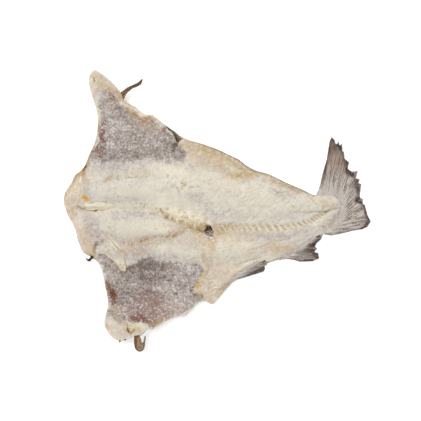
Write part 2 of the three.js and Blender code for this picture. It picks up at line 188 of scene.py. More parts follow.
# Small forms of the flesh side: (x, y, half width, height)
SMALL_FORMS = {
    "raised lip of the cut": [
        (-140, 6, 6, 0.5), (-110, 6, 9, 1.2), (-80, -4, 11, 1.8), (-50, -16, 12, 2), (-27, -23, 8, 1.3),
    ],
    "channel under the lip": [
        (-118, -5, 4, -0.3), (-98, -13, 4, -0.6), (-60, -27, 4, -0.6), (-28, -38, 4, -0.8),
    ],
    "first pit of the channel": [(-98, -13, 3.5, -1.6)],
    "second pit of the channel": [(-86, -17, 3.5, -1)],
    "third pit of the channel": [(-70, -22, 4, -1)],
    "fourth pit of the channel": [(-51, -31, 4, -1.2)],
    "fifth pit of the channel": [(-37, -34, 5, -1.4)],
    "neck slit": [
        (-270, 9, 2, -0.4), (-262, 3, 2, -0.8), (-240, 0, 2.2, -1.6), (-229, 2, 2, -1),
        (-207, 4, 2, -0.4),
    ],
    "lip over the slit": [
        (-263, 6, 3, 0.6), (-248, 8, 5, 1.4), (-235, 9, 6, 1.8), (-222, 9, 5, 1.4), (-205, 8, 3, 0.6),
    ],
    "crease in that lip": [(-247, 13, 1.8, -0.5), (-236, 12, 2, -0.8), (-224, 12, 1.8, -0.5)],
    "first strand beside the strip": [(-218, -46, 2, 0.6), (-206, -58, 2.4, 1.1), (-194, -74, 2, 0.6)],
    "second strand beside the strip": [(-210, -48, 2, 0.5), (-198, -60, 2.4, 1), (-184, -76, 2, 0.5)],
    "third strand beside the strip": [(-222, -52, 2, 0.5), (-212, -60, 2, 0.8), (-204, -68, 2, 0.4)],
    "seam of the tail stock": [(150, -1, 3, -0.2), (180, -3, 3, -0.7), (205, -2, 4, -1.6), (234, 5, 3, -1)],
    "end of the cut bone, top": [(-18, -30, 6, -6), (-16, -37, 6, -6)],
    "end of the cut bone, low": [(-15, -42, 6, -2.5), (-14, -50, 6, -1.5)],
    "end of the cut bone, side": [(-27, -38, 4, -2), (-20, -39, 4, -3)],
    "rolled edge of the belly": [
        (-178, 203, 4, 0.6), (-162, 198, 5, 1.2), (-150, 186, 5, 1.4), (-137, 184, 5, 1.4),
        (-124, 186, 5, 0.8), (-110, 176, 5, 0.5),
    ],
    "line under the rolled edge": [
        (-171, 190, 3, -0.4), (-160, 187, 3, -0.8), (-151, 178, 3, -1), (-141, 177, 3, -1),
        (-128, 182, 3, -0.6),
    ],
    "side of the upper belly": [(-236, 205, 7, 0.8), (-229, 170, 6, 0.7), (-236, 128, 6, 0.6)],
    "fold in the upper edge": [
        (-92, 157, 3, -1), (-83, 150, 4, -2), (-78, 142, 5, -2.8), (-78, 135, 4, -2.2),
        (-84, 123, 4, -1),
    ],
    "flap beside the fold": [(-62, 140, 5, 1.4), (-69, 133, 5, 2.2), (-75, 122, 5, 0.8)],
    "rim over the fold": [(-99, 167, 3, 0.8), (-84, 157, 3, 1.4), (-72, 147, 3, 1)],
    "edge of the vent flap": [
        (-12, -104, 6, 0.5), (-27, -126, 6, 1.2), (-37, -148, 6, 1.8), (-24, -164, 5, 1.4),
    ],
    "pocket beside the vent flap": [(-33, -163, 5, -1.4), (-28, -171, 4, -1)],
    "knife step in the lower loin": [(-94, -20, 5, 0.8), (-95, -36, 5, 0.9), (-96, -46, 4, 0.4)],
    "lower edge of the loin": [
        (-172, -60, 5, -0.5), (-140, -54, 5, -0.7), (-90, -46, 5, -0.7), (-60, -36, 5, -0.3),
    ],
    "crease by the tan patch": [(36, 83, 3, -0.8), (52, 80, 3, -1), (72, 80, 3, -0.5)],
    "crease in the tail stock": [
        (106, 44, 3, -0.6), (113, 38, 3, -1), (125, 36, 3, -1), (140, 38, 3, -0.3),
    ],
    "second crease in the tail stock": [(173, 31, 2.5, -0.3), (184, 22, 2.5, -0.4), (194, 11, 2.5, -0.3)],
    "upper edge of the lower strip": [
        (10, -4, 5, -0.2), (50, 7, 5, -0.4), (90, 7, 5, -0.4), (130, 2, 4, -0.2),
    ],
    "ridge over the front anal fin": [
        (22, -125, 6, 0.6), (50, -108, 6, 1.4), (80, -94, 6, 1.2), (104, -84, 5, 0.8),
    ],
    "crease over that ridge": [(40, -106, 3, -0.5), (70, -91, 3.5, -1), (102, -78, 3, -0.6)],
    "end lobe of the tail stock": [(200, 18, 9, 0.6), (216, 17, 11, 1.4), (231, 18, 11, 1.8)],
    "edge of the skin on the tail": [
        (229, -4, 4, 0.8), (234, -13, 4, 1), (232, -24, 4, 1), (223, -36, 4, 0.8),
    ],
    "crack in the upper wing tip": [(-239, 258, 2.5, -1.2), (-238, 250, 3, -1.5)],
    "long crack in the lower wing": [(-176, -224, 2.5, -1), (-172, -234, 3, -1.8), (-169, -238, 2.5, -1)],
    "short crack in the lower wing": [(-167, -237, 2.5, -1), (-161, -230, 2.5, -0.8)],
    "lobe at the lower wing tip": [
        (-205, -206, 5, 1), (-190, -212, 6, 1.3), (-170, -219, 7, 1.5), (-148, -220, 6, 1),
    ],
    "tear in the loin": [(-67, 57, 2.5, -0.8), (-63, 50, 3, -1.2), (-62, 43, 2.5, -0.6)],
}

# Where the flesh is crumbly: (x, y, half width, height of the crumbs)
CRUMBS = {
    "along the cut": [
        (-150, 10, 9, 0.7), (-110, 5, 15, 1.5), (-80, -4, 18, 1.9), (-50, -15, 18, 1.9),
        (-22, -34, 14, 1),
    ],
    "vent flap": [(-14, -112, 14, 0.4), (-26, -140, 16, 0.7), (-14, -164, 14, 0.5)],
    "over the neck slit": [(-262, 8, 9, 0.5), (-225, 10, 9, 0.6), (-200, 8, 6, 0.3)],
    "middle of the upper loin": [
        (-136, 80, 14, 0.6), (-100, 68, 20, 1.3), (-76, 56, 26, 1.7), (-50, 46, 24, 1.4),
        (-16, 56, 20, 0.9),
    ],
    "neck side of the lower flap": [(-238, -48, 12, 0.6), (-230, -62, 14, 0.8), (-205, -66, 12, 0.6)],
    "upper wing tip": [(-230, 252, 10, 0.7), (-222, 240, 10, 0.5)],
    "lower wing": [(-172, -228, 12, 0.5), (-150, -224, 8, 0.4)],
    "lower rib meat": [(-124, -62, 9, 0.5), (-110, -74, 13, 0.9), (-98, -84, 9, 0.5)],
}


def smooth_step(value, low, high):
    """0 below low, 1 above high, and an S-shaped curve between them."""
    t = np.clip((value - low) / (high - low), 0, 1)
    return t * t * (3 - 2 * t)


def soft_noise(x, y, cell, seed):
    """Smooth noise from -1 to 1, with bumps about `cell` across; `seed` picks its pattern."""
    lattice = np.random.default_rng(SEED * 1000 + seed).uniform(-1, 1, (LATTICE, LATTICE))
    u, v = x / cell + NOISE_START, y / cell + NOISE_START
    i, j = np.floor(u).astype(int), np.floor(v).astype(int)
    s, t = smooth_step(u - i, 0, 1), smooth_step(v - j, 0, 1)
    west, east = i % LATTICE, (i + 1) % LATTICE
    south, north = j % LATTICE, (j + 1) % LATTICE
    near = lattice[west, south] * (1 - s) + lattice[east, south] * s
    far = lattice[west, north] * (1 - s) + lattice[east, north] * s
    return near * (1 - t) + far * t


def rough_noise(x, y, cell, seed, octaves=3):
    """Noise whose bumps carry smaller bumps."""
    layers = [soft_noise(x, y, cell / 2**k, seed + k) / 2**k for k in range(octaves)]
    return sum(layers) / 1.5


def wandering(x, y):
    """Places shifted a little, so that what is drawn there has an uneven edge."""
    return x + WANDER * rough_noise(x, y, 12, 12), y + WANDER * rough_noise(x, y, 12, 16)


def along(path, x, y):
    """Distance to a path of (x, y, a, b) points, and a and b at its nearest place."""
    away, a, b = np.full(x.shape, np.inf), np.zeros(x.shape), np.zeros(x.shape)
    points = np.array(path if len(path) > 1 else [path[0], (path[0][0] + 0.01, *path[0][1:])], float)
    for start, end in zip(points, points[1:]):
        step = end[:2] - start[:2]
        t = np.clip(((x - start[0]) * step[0] + (y - start[1]) * step[1]) / (step @ step), 0, 1)
        here = np.hypot(x - start[0] - t * step[0], y - start[1] - t * step[1])
        near = here < away
        away = np.where(near, here, away)
        a = np.where(near, start[2] + t * (end[2] - start[2]), a)
        b = np.where(near, start[3] + t * (end[3] - start[3]), b)
    return away, a, b


def distance_to(line, x, y):
    """Distance to a line of (x, y) points."""
    return along([(*point, 0, 0) for point in line], x, y)[0]


def hump(path, x, y):
    """Height of a rounded hump along a path of (x, y, half width, height) points."""
    away, width, height = along(path, x, y)
    return height * np.where(away < width, 0.5 + 0.5 * np.cos(math.pi * away / width), 0)


def flowing(points, spacing, steps=24):
    """Closed centripetal Catmull-Rom curve through points, as evenly spaced points."""
    given = np.array(points, float)
    curve = []
    for i in range(len(given)):
        p0, p1, p2, p3 = (given[(i + k) % len(given)] for k in (-1, 0, 1, 2))
        t1 = math.dist(p0, p1) ** 0.5
        t2 = t1 + math.dist(p1, p2) ** 0.5
        t3 = t2 + math.dist(p2, p3) ** 0.5
        for t in np.linspace(t1, t2, steps, endpoint=False):
            a1 = (t1 - t) / t1 * p0 + t / t1 * p1
            a2 = (t2 - t) / (t2 - t1) * p1 + (t - t1) / (t2 - t1) * p2
            a3 = (t3 - t) / (t3 - t2) * p2 + (t - t2) / (t3 - t2) * p3
            b1 = (t2 - t) / t2 * a1 + t / t2 * a2
            b2 = (t3 - t) / (t3 - t1) * a2 + (t - t1) / (t3 - t1) * a3
            curve.append((t2 - t) / (t2 - t1) * b1 + (t - t1) / (t2 - t1) * b2)
    return evenly(np.array(curve), spacing)


def evenly(ring, spacing):
    """A closed ring cut into equal steps of about `spacing`."""
    closed = np.vstack([ring, ring[:1]])
    run = np.concatenate([[0], np.cumsum(np.linalg.norm(np.diff(closed, axis=0), axis=1))])
    places = np.linspace(0, run[-1], max(8, round(run[-1] / spacing)), endpoint=False)
    return np.column_stack([np.interp(places, run, closed[:, k]) for k in (0, 1)])


def outward(ring):
    """The way out of a ring at each of its points, whichever way round it runs."""
    way = np.roll(ring, -1, axis=0) - np.roll(ring, 1, axis=0)
    way /= np.linalg.norm(way, axis=1)[:, None]
    turn = np.sum(ring[:, 0] * np.roll(ring[:, 1], -1) - ring[:, 1] * np.roll(ring[:, 0], -1))
    return np.column_stack([way[:, 1], -way[:, 0]]) * np.sign(turn)


def torn(ring, depth, cell, seed):
    """A ring whose edge is worn in unevenly by up to about twice `depth`, but not at its sharp corners."""
    span = np.linalg.norm(np.roll(ring, -3, axis=0) - np.roll(ring, 3, axis=0), axis=1)
    straight = smooth_step(span / np.median(span), 0.7, 0.97)
    worn = (1 - rough_noise(ring[:, 0], ring[:, 1], cell, seed)) * depth * straight
    return ring - outward(ring) * worn[:, None]


def edge_distance(ring, x, y):
    """Distance in from a ring's edge, negative outside it."""
    away = np.full(x.shape, np.inf)
    inside = np.zeros(x.shape, bool)
    for p, q in zip(ring, np.roll(ring, -1, axis=0)):
        step = q - p
        t = np.clip(((x - p[0]) * step[0] + (y - p[1]) * step[1]) / max(step @ step, 1e-9), 0, 1)
        away = np.minimum(away, (x - p[0] - t * step[0]) ** 2 + (y - p[1] - t * step[1]) ** 2)
        if p[1] != q[1]:
            inside ^= ((p[1] > y) != (q[1] > y)) & (x < p[0] + step[0] * (y - p[1]) / step[1])
    return np.where(inside, 1, -1) * np.sqrt(away)


BODY_POINTS = UPPER_BELLY_EDGE + UPPER_WING + NECK_CUT + LOWER_WING + LOWER_BELLY_EDGE + TAIL_ROOT
BODY_RING = flowing(BODY_POINTS, 6)


def skin_side(x, y):
    """Height of the skin side: flat along the back, curling up and gently wavy outside it."""
    t = np.clip((distance_to(BACK_LINE, x, y) - REST_REACH) / (CURL_REACH - REST_REACH), 0, None)
    wave = 1 + WAVINESS * np.sin(x / WAVES[0] + 0.6) * np.cos(y / WAVES[1])
    return CURL * t**CURL_POWER * wave


def thickness(x, y):
    """Thickness of flesh and skin together, without the small forms."""
    inside = edge_distance(BODY_RING, x, y)
    flesh = FLAP_THICK * (1 - EDGE_THIN * (1 - smooth_step(inside, 0, EDGE_REACH)))
    rise = smooth_step(inside, *RIDGE_START)
    for path in RIDGES.values():
        flesh = flesh + rise * LOIN_RISE * hump(path, x, y)
    return FIN_THICK + (flesh - FIN_THICK) * smooth_step(inside, *FIN_TO_FLESH)


def bones(x, y):
    """How much of a bar of the backbone, and of a hollow between two bars, lies at each place."""
    spine = np.array(BACKBONE, float)
    run = np.concatenate([[0], np.cumsum(np.linalg.norm(np.diff(spine, axis=0), axis=1))])
    away, here, _ = along([(*p, r, 0) for p, r in zip(BACKBONE, run)], x, y)
    across = away * np.sign(y - np.interp(x, spine[:, 0], spine[:, 1]))
    count = np.interp(here + BAR_LEAN * across + 0.5 * soft_noise(x, y, 9, 58), BARS, range(len(BARS)))
    half = np.interp(here, [0, run[-1]], BAR_REACH)
    band = 1 - smooth_step(np.abs(across) + 1.2 * soft_noise(x, y, 7, 59), half - 3, half + 2)
    band = band * (1 - smooth_step(away, half, half + 3))
    wave = 0.5 + 0.5 * np.cos(count * math.tau)
    sharpness = np.interp(here, [0, CRUSHED_END], [1.6, 4])
    whole = np.interp(here, [0, CRUSHED_END], [0.4, 1])
    return whole * band * wave**sharpness, whole * band * (1 - wave) ** 0.7


def below_back(x, y):
    """1 on the lower side of the back line, 0 on the upper side, and a narrow band between them."""
    line = np.array(BACK_LINE)
    return 1 - smooth_step(y - np.interp(x, line[:, 0], line[:, 1]), -4, 4)


def fibres(x, y):
    """Muscle fibres of the tail stock, which lean towards the tail more steeply on the upper side."""
    lean = np.where(below_back(x, y) > 0.5, LOWER_LEAN, UPPER_LEAN)
    run, across = x * np.cos(lean) + y * np.sin(lean), y * np.cos(lean) - x * np.sin(lean)
    return soft_noise(run / 5, across, 2.8, 56) * smooth_step(x, -120, 20)


def crumbs(x, y):
    """Height of the crumbs of torn flesh, and below 0 in the gaps between them."""
    return sum(hump(path, x, y) for path in CRUMBS.values()) * rough_noise(x, y, 5.5, 36)


def flesh_side(x, y, lining):
    """Height of the flesh side with its small forms and grain; `lining` is 1 on the belly lining."""
    small = sum(hump(path, *wandering(x, y)) for path in SMALL_FORMS.values())
    bar, hollow = bones(x, y)
    lumps = COARSE_LUMPS * rough_noise(x, y, 16, 40) + FINE_LUMPS * rough_noise(x, y, 5.5, 44)
    relief = lumps + FIBRE_RISE * fibres(x, y) + BAR_RISE * bar - HOLLOW_DEPTH * hollow
    wrinkles = LINING_WRINKLES * rough_noise(x, y, 6, 48) - LINING_STEP
    top = skin_side(x, y) + thickness(x, y) + small + crumbs(x, y)
    top = top + relief * (1 - lining) + wrinkles * lining
    top = np.maximum(top, skin_side(x, y) + THINNEST)
    return top - LEVELLING * np.clip(top - HIGHEST, 0, None)


# ---------------------------------------------------------------- where each finish shows

UPPER_LINING = [
    (-226, 214), (-214, 220), (-202, 216), (-191, 208), (-180, 201), (-170, 192), (-158, 187),
    (-152, 177), (-141, 174), (-129, 177), (-118, 169), (-106, 161), (-90, 152), (-82, 140),
    (-77, 132), (-68, 122), (-62, 111), (-62, 101), (-90, 96), (-110, 98), (-126, 101), (-140, 103),
    (-152, 97), (-166, 94), (-180, 96), (-195, 95), (-207, 94), (-225, 95), (-243, 98),
    (-246, 112), (-239, 124), (-231, 136), (-228, 150), (-226, 170), (-227, 190), (-230, 206),
]
LOWER_LINING = [
    (-234, -84), (-222, -82), (-208, -88), (-196, -94), (-186, -104), (-176, -106), (-170, -103),
    (-160, -101), (-150, -95), (-140, -91), (-131, -87), (-125, -91), (-116, -95), (-101, -97),
    (-92, -98), (-77, -100), (-55, -101), (-38, -104), (-27, -110), (-31, -125), (-40, -136),
    (-45, -150), (-45, -158), (-36, -162), (-32, -172), (-44, -180), (-54, -190), (-62, -198),
    (-80, -202), (-97, -209), (-112, -218), (-127, -225), (-137, -220), (-146, -214), (-160, -214),
    (-174, -215), (-182, -211), (-194, -203), (-206, -199), (-212, -194), (-209, -186),
    (-211, -172), (-212, -155), (-216, -140), (-220, -124), (-226, -108), (-231, -98),
]
NECK_END = [
    (-262, 108), (-252, 92), (-252, 60), (-262, 30), (-262, 0), (-258, -30), (-246, -56),
    (-240, -84), (-236, -110), (-300, -110), (-320, 0), (-300, 90),
]
VENT_FLAP = [
    (-14, -98), (-26, -114), (-34, -126), (-42, -138), (-46, -150), (-42, -160), (-30, -168),
    (-22, -184), (10, -180), (40, -144), (60, -120), (20, -96),
]

FOLD = [
    (-104, 171), (-88, 160), (-76, 151), (-67, 143.5), (-71, 138.5), (-76.5, 132), (-80.5, 137),
    (-84.5, 145), (-92, 154), (-101, 163),
]
PIT = [(-22, -36), (-11, -36), (-8, -46), (-14, -50), (-21, -48)]

# Areas of each finish: (outline, half width of the soft edge, strength)
AREAS = {
    # umber is painted shade inside the fold and the pit
    "umber": [(FOLD, 1.2, 1.0), (PIT, 1.5, 0.9)],
    "lining": [(UPPER_LINING, 8, 1.0), (LOWER_LINING, 6, 1.0)],
    "pink": [(NECK_END, 14, 0.6), (VENT_FLAP, 10, 0.45)],
}

# Strokes of each finish: paths of (x, y, half width, strength). The lists of flesh finishes further down
# say what each is; some are painted shade or painted highlights. "stringy" is threads in the meat; "tawny",
# "murk" and "frost" are the brown, the dark and the salty places of the belly lining, and "murk" also
# holds painted shadow below the fold.
STROKES = {
    "cream": [
        [
            (-140, 9, 10, 0.6), (-110, 6, 14, 1), (-85, -3, 18, 1.2), (-60, -12, 20, 1.2),
            (-35, -22, 16, 1.2), (-22, -26, 9, 0.9),
        ],
        [
            (-125, 86, 14, 0.4), (-90, 78, 22, 0.7), (-50, 68, 28, 0.5), (-10, 60, 28, 0.5),
            (30, 52, 26, 0.4),
        ],
        [(-80, 60, 14, 0.6), (-64, 44, 12, 0.5)],
        [(20, 44, 24, 0.3), (70, 38, 26, 0.35), (120, 24, 20, 0.25)],
        [
            (-264, 6, 5, 0.8), (-248, 9, 10, 1.8), (-236, 10, 11, 2), (-222, 9, 9, 1.8),
            (-207, 8, 5, 1), (-160, 9, 6, 0.6), (-135, 10, 10, 0.7),
        ],
        [
            (-200, 36, 16, 0.2), (-160, 34, 18, 0.25), (-130, 28, 18, 0.4), (-100, 24, 20, 0.5),
            (-74, 18, 16, 0.4), (-46, 10, 14, 0.3),
        ],
        [
            (-6, 14, 16, 0.3), (30, 18, 18, 0.3), (60, 10, 20, 0.3), (90, 4, 20, 0.3),
            (120, 6, 18, 0.3), (150, 10, 12, 0.2),
        ],
        [(-190, -42, 14, 0.3), (-150, -36, 16, 0.5), (-120, -32, 14, 0.6), (-106, -34, 10, 0.7)],
        [(-115, 2, 1.8, 1), (-113, -6, 1.6, 0.9)],
        [(-103, 1, 1.8, 1), (-102, -6, 1.6, 0.9)],
        [(-92, -9, 2, 1.2), (-90, -15, 1.6, 0.9)],
        [(-79, -14, 2, 1.2), (-77, -20, 1.6, 0.9)],
        [(-66, -18, 2, 1.2), (-63, -26, 1.6, 0.9)],
        [(-46, -25, 2, 1.2), (-43, -33, 1.6, 0.9)],
        [(238, -2, 2, 0.8), (238, -14, 2.4, 1), (234, -26, 2.4, 0.9), (224, -37, 2, 0.7)],
        [(-214, -66, 6, 0.5), (-222, -72, 6, 0.5)],
        [(-218, -46, 2, 0.8), (-206, -58, 2, 1), (-194, -74, 2, 0.8)],
        [(-210, -48, 2, 0.8), (-198, -60, 2, 1), (-184, -76, 2, 0.6)],
        [(-222, -52, 2, 0.6), (-212, -60, 2, 0.8), (-204, -68, 2, 0.4)],
        [
            (-100, -68, 14, 0.2), (-60, -72, 26, 0.4), (-30, -76, 26, 0.5), (0, -72, 24, 0.5),
            (60, -68, 20, 0.4),
        ],
        [(-14, -60, 12, 0.8), (-4, -72, 12, 0.7), (10, -66, 12, 0.5)],
        [(-20, -168, 10, 0.4), (-8, -172, 12, 0.6), (6, -158, 8, 0.5)],
        [(20, -130, 7, 0.3), (45, -112, 8, 0.5), (75, -98, 8, 0.5), (100, -87, 7, 0.4), (125, -81, 6, 0.3)],
        [(-124, -62, 8, 0.4), (-110, -74, 11, 0.8), (-98, -84, 8, 0.5)],
        [(-238, 262, 12, 0.5), (-228, 250, 12, 0.7), (-210, 244, 8, 0.4)],
        [(-176, -218, 8, 0.5), (-166, -226, 12, 0.9), (-150, -224, 9, 0.8)],
        [
            (-180, 206, 6, 0.5), (-165, 196, 7, 0.5), (-152, 187, 7, 0.6), (-137, 184, 8, 0.6),
            (-122, 184, 8, 0.5), (-108, 172, 6, 0.2),
        ],
        [(-66, 128, 8, 0.4), (-72, 122, 7, 0.3)],
        [(-216, 56, 6, 0.4), (-255, 68, 6, 0.6)],
        [(-238, 214, 5, 0.7), (-233, 190, 5, 0.8), (-232, 168, 4, 0.8), (-234, 150, 4, 0.6)],
    ],
    "bloom": [
        [(200, -38, 9, 0.4), (214, -36, 10, 0.6), (226, -34, 9, 0.6)],
        [(-56, 84, 12, 0.5), (-40, 78, 10, 0.3)],
        [(222, 26, 6, 0.4), (231, 18, 8, 0.9), (234, 8, 7, 0.9), (236, -2, 5, 0.6)],
        [(-274, 66, 7, 0.4), (-264, 62, 9, 0.7), (-258, 48, 9, 0.6), (-262, 36, 8, 0.3)],
        [(-252, 82, 8, 0.7), (-246, 70, 8, 0.4)],
        [(-250, 96, 20, 0.7), (-215, 88, 24, 0.7), (-180, 88, 24, 0.7), (-150, 90, 18, 0.4)],
        [(-262, 66, 14, 0.9), (-256, 48, 12, 0.8), (-252, 34, 10, 0.6), (-246, 20, 8, 0.3)],
        [(-230, 62, 16, 0.4), (-196, 64, 14, 0.4)],
        [(-216, 24, 8, 0.3), (-180, 22, 9, 0.3), (-150, 22, 10, 0.6), (-132, 20, 8, 0.2)],
        [(-109, 36, 3, 0.3), (-103, 46, 4, 0.5), (-96, 54, 6, 0.7), (-86, 50, 7, 0.6)],
        [(-80, 44, 3, 0.3), (-74, 36, 3, 0.4)],
        [(-56, 34, 8, 0.3), (-40, 32, 8, 0.3), (-24, 28, 7, 0.2)],
        [(-56, 30, 12, 0.2), (-40, 26, 14, 0.25), (-18, 12, 12, 0.15), (-18, -6, 10, 0.25)],
        [(-10, -8, 12, 0.2), (20, -6, 12, 0.3), (50, -10, 9, 0.15), (150, -14, 10, 0.15)],
        [
            (-258, -4, 12, 0.6), (-246, -22, 18, 0.9), (-240, -44, 16, 0.8), (-228, -56, 12, 0.6),
            (-212, -48, 8, 0.4),
        ],
        # painted shade on the low side of the knife step
        [(-88, -34, 6, 0.6), (-76, -34, 6, 0.5), (-64, -30, 5, 0.3)],
        [(-84, -60, 18, 0.3), (-56, -66, 18, 0.35), (-34, -74, 14, 0.3)],
        [(-30, -82, 8, 0.6), (-24, -96, 8, 0.8), (-14, -112, 6, 0.6)],
        [(150, -64, 10, 0.2), (172, -54, 10, 0.2)],
        [(-226, -52, 14, 0.6), (-200, -58, 16, 0.5), (-180, -70, 16, 0.6), (-160, -76, 16, 0.6)],
        [
            (-206, 104, 10, 0.5), (-150, 98, 12, 0.7), (-110, 96, 10, 0.3), (-72, 98, 12, 0.9),
            (-62, 116, 10, 0.6),
        ],
        [(-222, 222, 12, 0.6), (-206, 226, 10, 0.4)],
        [(-200, -8, 10, 0.5), (-160, -6, 12, 0.6), (-130, -8, 10, 0.4)],
        [(204, 33, 3, 0.5), (226, 31, 4, 0.8), (238, 24, 4, 0.9), (242, 10, 4, 0.8)],
        [(-180, -80, 20, 0.7), (-150, -84, 22, 1), (-118, -88, 18, 0.7), (-84, -90, 16, 0.6)],
        [(-62, -94, 14, 0.6), (-34, -96, 14, 0.7), (-16, -92, 10, 0.4)],
        [
            (40, -46, 9, 0.4), (90, -50, 10, 0.8), (120, -50, 10, 0.9), (150, -44, 10, 0.8),
            (180, -32, 9, 0.6),
        ],
        [(206, -32, 12, 0.6), (222, -24, 16, 0.7), (230, -10, 10, 0.7)],
        [(22, -140, 5, 0.4), (45, -118, 5, 0.6), (75, -99, 5, 0.6), (94, -97, 4, 0.6)],
        [(116, -92, 5, 0.6), (138, -84, 7, 0.8), (162, -69, 8, 0.6), (184, -54, 7, 0.4)],
        [(104, 38, 8, 0.4), (124, 32, 12, 0.6), (150, 30, 8, 0.4)],
        [(-20, 88, 20, 0.3), (20, 78, 14, 0.4)],
        [(-214, -202, 8, 0.9), (-206, -200, 9, 1), (-202, -188, 7, 0.6)],
        [(-196, -206, 12, 0.8), (-180, -214, 10, 0.8), (-164, -219, 7, 0.5)],
    ],
    "pink": [
        [(-242, 238, 6, 0.5), (-238, 214, 5, 0.6), (-234, 190, 5, 0.5), (-233, 168, 4, 0.5)],
        [(-52, 122, 14, 0.4), (-20, 100, 18, 0.5), (20, 86, 12, 0.4)],
        [(96, 62, 12, 0.5), (124, 52, 12, 0.7), (150, 42, 10, 0.6), (170, 34, 8, 0.4)],
        [(90, -72, 10, 0.5), (116, -72, 12, 0.8), (146, -70, 10, 0.6)],
        [(-272, -30, 16, 0.6), (-262, -56, 16, 0.8), (-250, -78, 14, 0.8)],
        [(-238, 238, 12, 0.6), (-224, 240, 14, 0.7), (-206, 240, 14, 0.9), (-196, 232, 10, 0.8)],
        [(-246, 258, 8, 0.4), (-236, 268, 8, 0.4)],
        [(-86, -64, 14, 0.3), (-56, -60, 16, 0.25), (-30, -62, 14, 0.3)],
        [(-288, 36, 14, 0.2), (-280, 60, 12, 0.4), (-266, 76, 12, 0.5)],
        [(190, 22, 9, 0.35), (206, 19, 13, 0.55), (222, 16, 12, 0.5)],
        [(-226, -44, 8, 0.3), (-206, -52, 9, 0.35), (-190, -70, 9, 0.35)],
        [(-76, 126, 8, 0.4), (-64, 132, 9, 0.7), (-50, 132, 9, 0.7)],
        [(62, 84, 7, 0.6), (84, 75, 8, 0.9), (104, 67, 8, 0.9), (122, 58, 7, 0.5)],
        [(-198, 232, 8, 0.6), (-190, 222, 7, 0.8)],
        [(-210, -226, 16, 0.5), (-190, -234, 14, 0.4)],
        [(-154, 170, 12, 0.6), (-136, 160, 18, 0.7), (-118, 152, 14, 0.4)],
        [(-198, -76, 12, 0.5), (-170, -74, 12, 0.4)],
        [(-2, -44, 8, 0.5), (-8, -62, 6, 0.5), (-6, -84, 6, 0.4)],
        [(10, -50, 10, 0.5), (40, -54, 12, 0.5), (70, -54, 10, 0.4), (60, -84, 9, 0.4)],
        [(-92, -44, 9, 0.5), (-70, -42, 8, 0.4)],
    ],
    "ochre": [
        [(-138, 184, 7, 0.4), (-126, 178, 8, 0.7), (-114, 171, 6, 0.5)],
        [(-10, -46, 12, 0.3), (-18, -72, 20, 0.3), (-24, -96, 18, 0.3)],
        [(-46, -24, 12, 0.3), (-28, -36, 12, 0.5)],
        [
            (-46, 132, 7, 0.5), (-26, 124, 9, 1), (-6, 117, 8, 0.7), (16, 104, 8, 0.7),
            (38, 94, 7, 0.7), (56, 85, 6, 0.4),
        ],
        [(-160, -80, 8, 0.4), (-138, -82, 8, 0.4)],
        [(-254, -36, 9, 0.3), (-246, -44, 8, 0.2)],
        [(-228, 262, 6, 0.5), (-222, 250, 6, 0.4)],
        [(-184, -206, 7, 0.4), (-172, -224, 8, 0.6), (-166, -236, 6, 0.5)],
        [(110, -82, 10, 0.3), (134, -72, 10, 0.3)],
        [
            (-66, 128, 10, 0.3), (-46, 124, 10, 0.5), (-30, 122, 10, 0.8), (-12, 112, 11, 0.8),
            (10, 104, 10, 0.7), (33, 92, 10, 0.7), (50, 84, 7, 0.6),
        ],
        [(-60, 110, 16, 0.25), (-30, 98, 16, 0.3), (10, 86, 14, 0.4)],
        [(12, 72, 8, 0.3), (30, 69, 10, 0.6), (50, 72, 12, 0.9), (66, 70, 10, 0.8), (78, 70, 7, 0.4)],
        [(90, 66, 8, 0.3), (110, 60, 8, 0.4)],
        [(-48, -40, 9, 0.2), (-30, -46, 9, 0.4)],
        [(-62, 141, 4, 0.4), (-50, 137, 4, 0.6), (-38, 133, 4, 0.5)],
        [(-196, 228, 5, 0.4), (-188, 220, 5, 0.6)],
        [(126, 55, 5, 0.3), (148, 46, 5, 0.4), (166, 39, 5, 0.3)],
        [
            (-22, -108, 7, 0.3), (-29, -123, 8, 0.5), (-36, -137, 8, 0.8), (-41, -148, 9, 1.1),
            (-36, -158, 7, 0.9), (-28, -164, 6, 0.5),
        ],
        [(0, -164, 8, 0.4), (12, -151, 8, 0.5), (22, -138, 7, 0.3)],
        [(-24, -168, 6, 0.5), (-12, -174, 6, 0.3)],
        [(-184, 217, 5, 0.9), (-176, 209, 5, 0.8), (-164, 202, 4, 0.4)],
        [(-229, 256, 3, 0.6), (-217, 253, 3, 0.8)],
        [(-236, 250, 6, 0.4), (-243, 240, 5, 0.4)],
        [(-266, 76, 7, 0.6), (-254, 90, 6, 0.7)],
        [(-246, 112, 6, 0.6), (-240, 124, 5, 0.5)],
        [(-254, -58, 9, 0.2), (-248, -72, 8, 0.3), (-250, -86, 7, 0.6), (-238, -88, 5, 0.5)],
        [(-238, -92, 4, 0.8), (-232, -99, 3, 0.6)],
        [(-216, -140, 4, 0.6), (-213, -150, 5, 0.9), (-210, -168, 6, 0.9), (-206, -182, 6, 0.7)],
        [(-180, -224, 8, 0.5), (-166, -232, 10, 0.7), (-152, -230, 8, 0.7)],
        [(-244, 262, 5, 0.4), (-234, 260, 6, 0.4), (-230, 250, 7, 0.3)],
        [(-214, -222, 5, 0.3), (-205, -240, 6, 0.3), (-188, -247, 6, 0.3)],
        [(-212, 64, 7, 0.3), (-202, 66, 7, 0.3), (-140, 74, 9, 0.3)],
        [(206, 8, 5, 0.4), (224, 8, 4, 0.4), (208, -4, 5, 0.5)],
    ],
    "tan": [
        [(-8, -40, 10, 0.9), (8, -38, 14, 0.8), (22, -36, 14, 0.6), (44, -36, 12, 0.3)],
        [(-20, -54, 8, 0.6), (-9, -56, 9, 0.7), (-12, -68, 8, 0.3)],
        [(-19, -104, 4, 0.5), (-17, -112, 4, 0.7), (-24, -124, 4, 0.4)],
        [(-54, -48, 14, 0.25), (-34, -56, 14, 0.3), (-14, -54, 10, 0.3)],
        [
            (-110, 0, 5, 0.5), (-100, -10, 7, 0.7), (-74, -21, 7, 0.6), (-54, -29, 8, 0.8),
